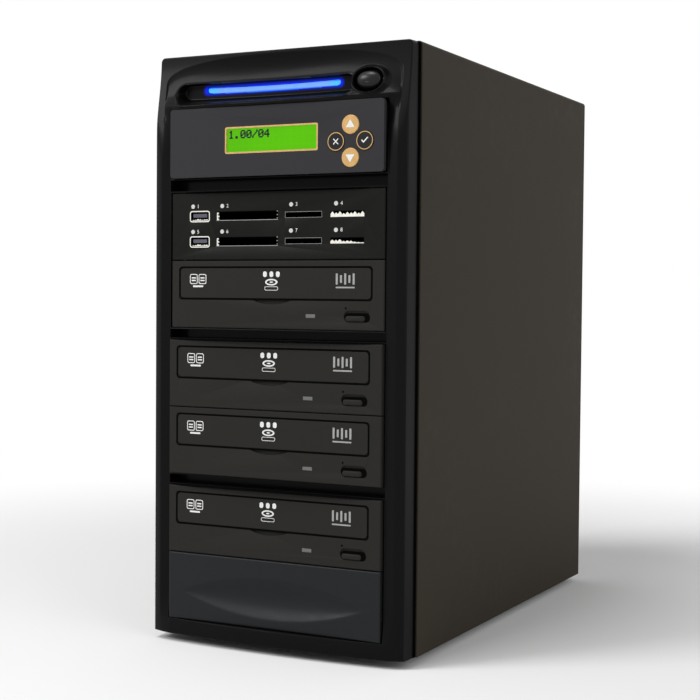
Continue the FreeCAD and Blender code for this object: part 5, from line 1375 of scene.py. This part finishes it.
class TOWER_OT_stage(bpy.types.Operator):
    """The pale floor, the soft light and the camera at the photograph's angle"""

    bl_idname = "tower.stage"
    bl_label = "Stage"

    SOFT_LIGHT = 0.4
    # Distances from the middle between which the floor fades into the white, in metres
    FADE = (0.3, 0.8)

    def execute(self, context):
        self.floor()
        self.world()
        for name, (place, size, power) in LAMPS.items():
            self.lamp(name, place, size, power)
        self.camera()
        context.scene.view_settings.view_transform = "Standard"
        return {"FINISHED"}

    def whitened(self, tree, kind, base, share):
        """Turn a shader white where the camera, a gloss or a glass sees it, as far as a share."""
        path = tree.add("LightPath").outputs
        direct = tree.maths("MAXIMUM", path["Is Camera Ray"], path["Is Glossy Ray"])
        seen = tree.maths("MAXIMUM", direct, path["Is Transmission Ray"])
        white = tree.add(kind, {"Color": WHITE, "Strength": 1.0}).outputs[0]
        mix = tree.add("MixShader", {0: tree.maths("MULTIPLY", seen, share), 1: base.outputs[0], 2: white})
        output = next(node for node in tree.tree.nodes if node.type.startswith("OUTPUT"))
        tree.fill(output, {"Surface": mix.outputs[0]})

    def floor(self):
        """One wide plate just under the feet, which fades into the white behind it."""
        half = 6.0
        low = CAD_BOX[0].z
        mesh = bpy.data.meshes.new("floor")
        corners = ((-half, -half, low), (half, -half, low), (half, half, low), (-half, half, low))
        mesh.from_pydata(corners, [], [(0, 1, 2, 3)])
        plane = placed("floor", mesh)
        finish = Finish("Pale Floor")
        colour = settings("stage").floor_colour
        cloud = finish.noise(finish.place, 2.0)
        finish.made(Base_Color=finish.blend(cloud, colour4(colour), colour4(colour, 0.99)), Roughness=0.9,
                    Specular_IOR_Level=0.0)
        away = finish.add("VectorMath", {0: finish.place}, operation="LENGTH").outputs["Value"]
        self.whitened(finish, "Emission", finish.shader, finish.ramp(away, *self.FADE))
        dress(plane, finish.material)

    def world(self):
        """Soft grey light all round, and white where one looks past the object."""
        world = bpy.data.worlds.new("Studio")
        bpy.context.scene.world = world
        world.use_nodes = True
        tree = Tree(world.node_tree)
        soft = next(node for node in world.node_tree.nodes if node.type == "BACKGROUND")
        tree.fill(soft, {"Color": WHITE, "Strength": self.SOFT_LIGHT})
        self.whitened(tree, "Background", soft, 1.0)

    def lamp(self, name, place, size, power):
        """One soft box that looks at the middle of the object."""
        light = bpy.data.lights.new(name, "AREA")
        light.size = size
        light.energy = power
        lamp = placed(name, light)
        lamp.location = place
        aim = (CAD_BOX[0] + CAD_BOX[1]) / 2 - Vector(place)
        lamp.rotation_euler = aim.to_track_quat("-Z", "Y").to_euler()

    def camera(self):
        """The photograph's camera, from its place, its two turns and its lean."""
        stage = settings("stage")
        forward = Vector((-math.sin(stage.azimuth) * math.cos(stage.dip),
                          math.cos(stage.azimuth) * math.cos(stage.dip), -math.sin(stage.dip)))
        level = Vector((math.cos(stage.azimuth), math.sin(stage.azimuth), 0))
        over = level.cross(forward)
        right = level * math.cos(stage.roll) + over * math.sin(stage.roll)
        up = over * math.cos(stage.roll) - level * math.sin(stage.roll)
        data = bpy.data.cameras.new("camera")
        data.lens = stage.lens
        data.sensor_width = 36
        camera = placed("camera", data)
        turn = Matrix((right, up, -forward)).transposed()
        camera.matrix_world = Matrix.Translation(stage.place) @ turn.to_4x4()
        bpy.context.scene.camera = camera


class TOWER_PT_panel(bpy.types.Panel):
    """The steps that dress the tower, in order"""

    bl_label = "Disc Tower"
    bl_idname = "TOWER_PT_panel"
    bl_space_type = "VIEW_3D"
    bl_region_type = "UI"
    bl_category = "Disc Tower"

    def draw(self, context):
        for operator in OPERATORS:
            self.layout.operator(operator.bl_idname)


SETTINGS = {
    "shell": ShellSettings,
    "bezel": BezelSettings,
    "light": LightSettings,
    "display": DisplaySettings,
    "print": PrintSettings,
    "stage": StageSettings,
}
OPERATORS = (TOWER_OT_finishes, TOWER_OT_shells, TOWER_OT_bezel, TOWER_OT_blank, TOWER_OT_header,
             TOWER_OT_display, TOWER_OT_keys, TOWER_OT_reader, TOWER_OT_drives, TOWER_OT_stage)


def register():
    """Make the settings, the operators and the panel known."""
    for kind in (*SETTINGS.values(), *OPERATORS, TOWER_PT_panel):
        bpy.utils.register_class(kind)
    for name, kind in SETTINGS.items():
        setattr(bpy.types.Scene, f"tower_{name}", PointerProperty(type=kind))


def unregister():
    """Take them away again."""
    for name in SETTINGS:
        delattr(bpy.types.Scene, f"tower_{name}")
    for kind in (TOWER_PT_panel, *reversed(OPERATORS), *SETTINGS.values()):
        bpy.utils.unregister_class(kind)


def main():
    """Dress the model."""
    register()
    for operator in OPERATORS:
        group, name = operator.bl_idname.split(".")
        getattr(getattr(bpy.ops, group), name)()


if __name__ == "__main__":
    main()
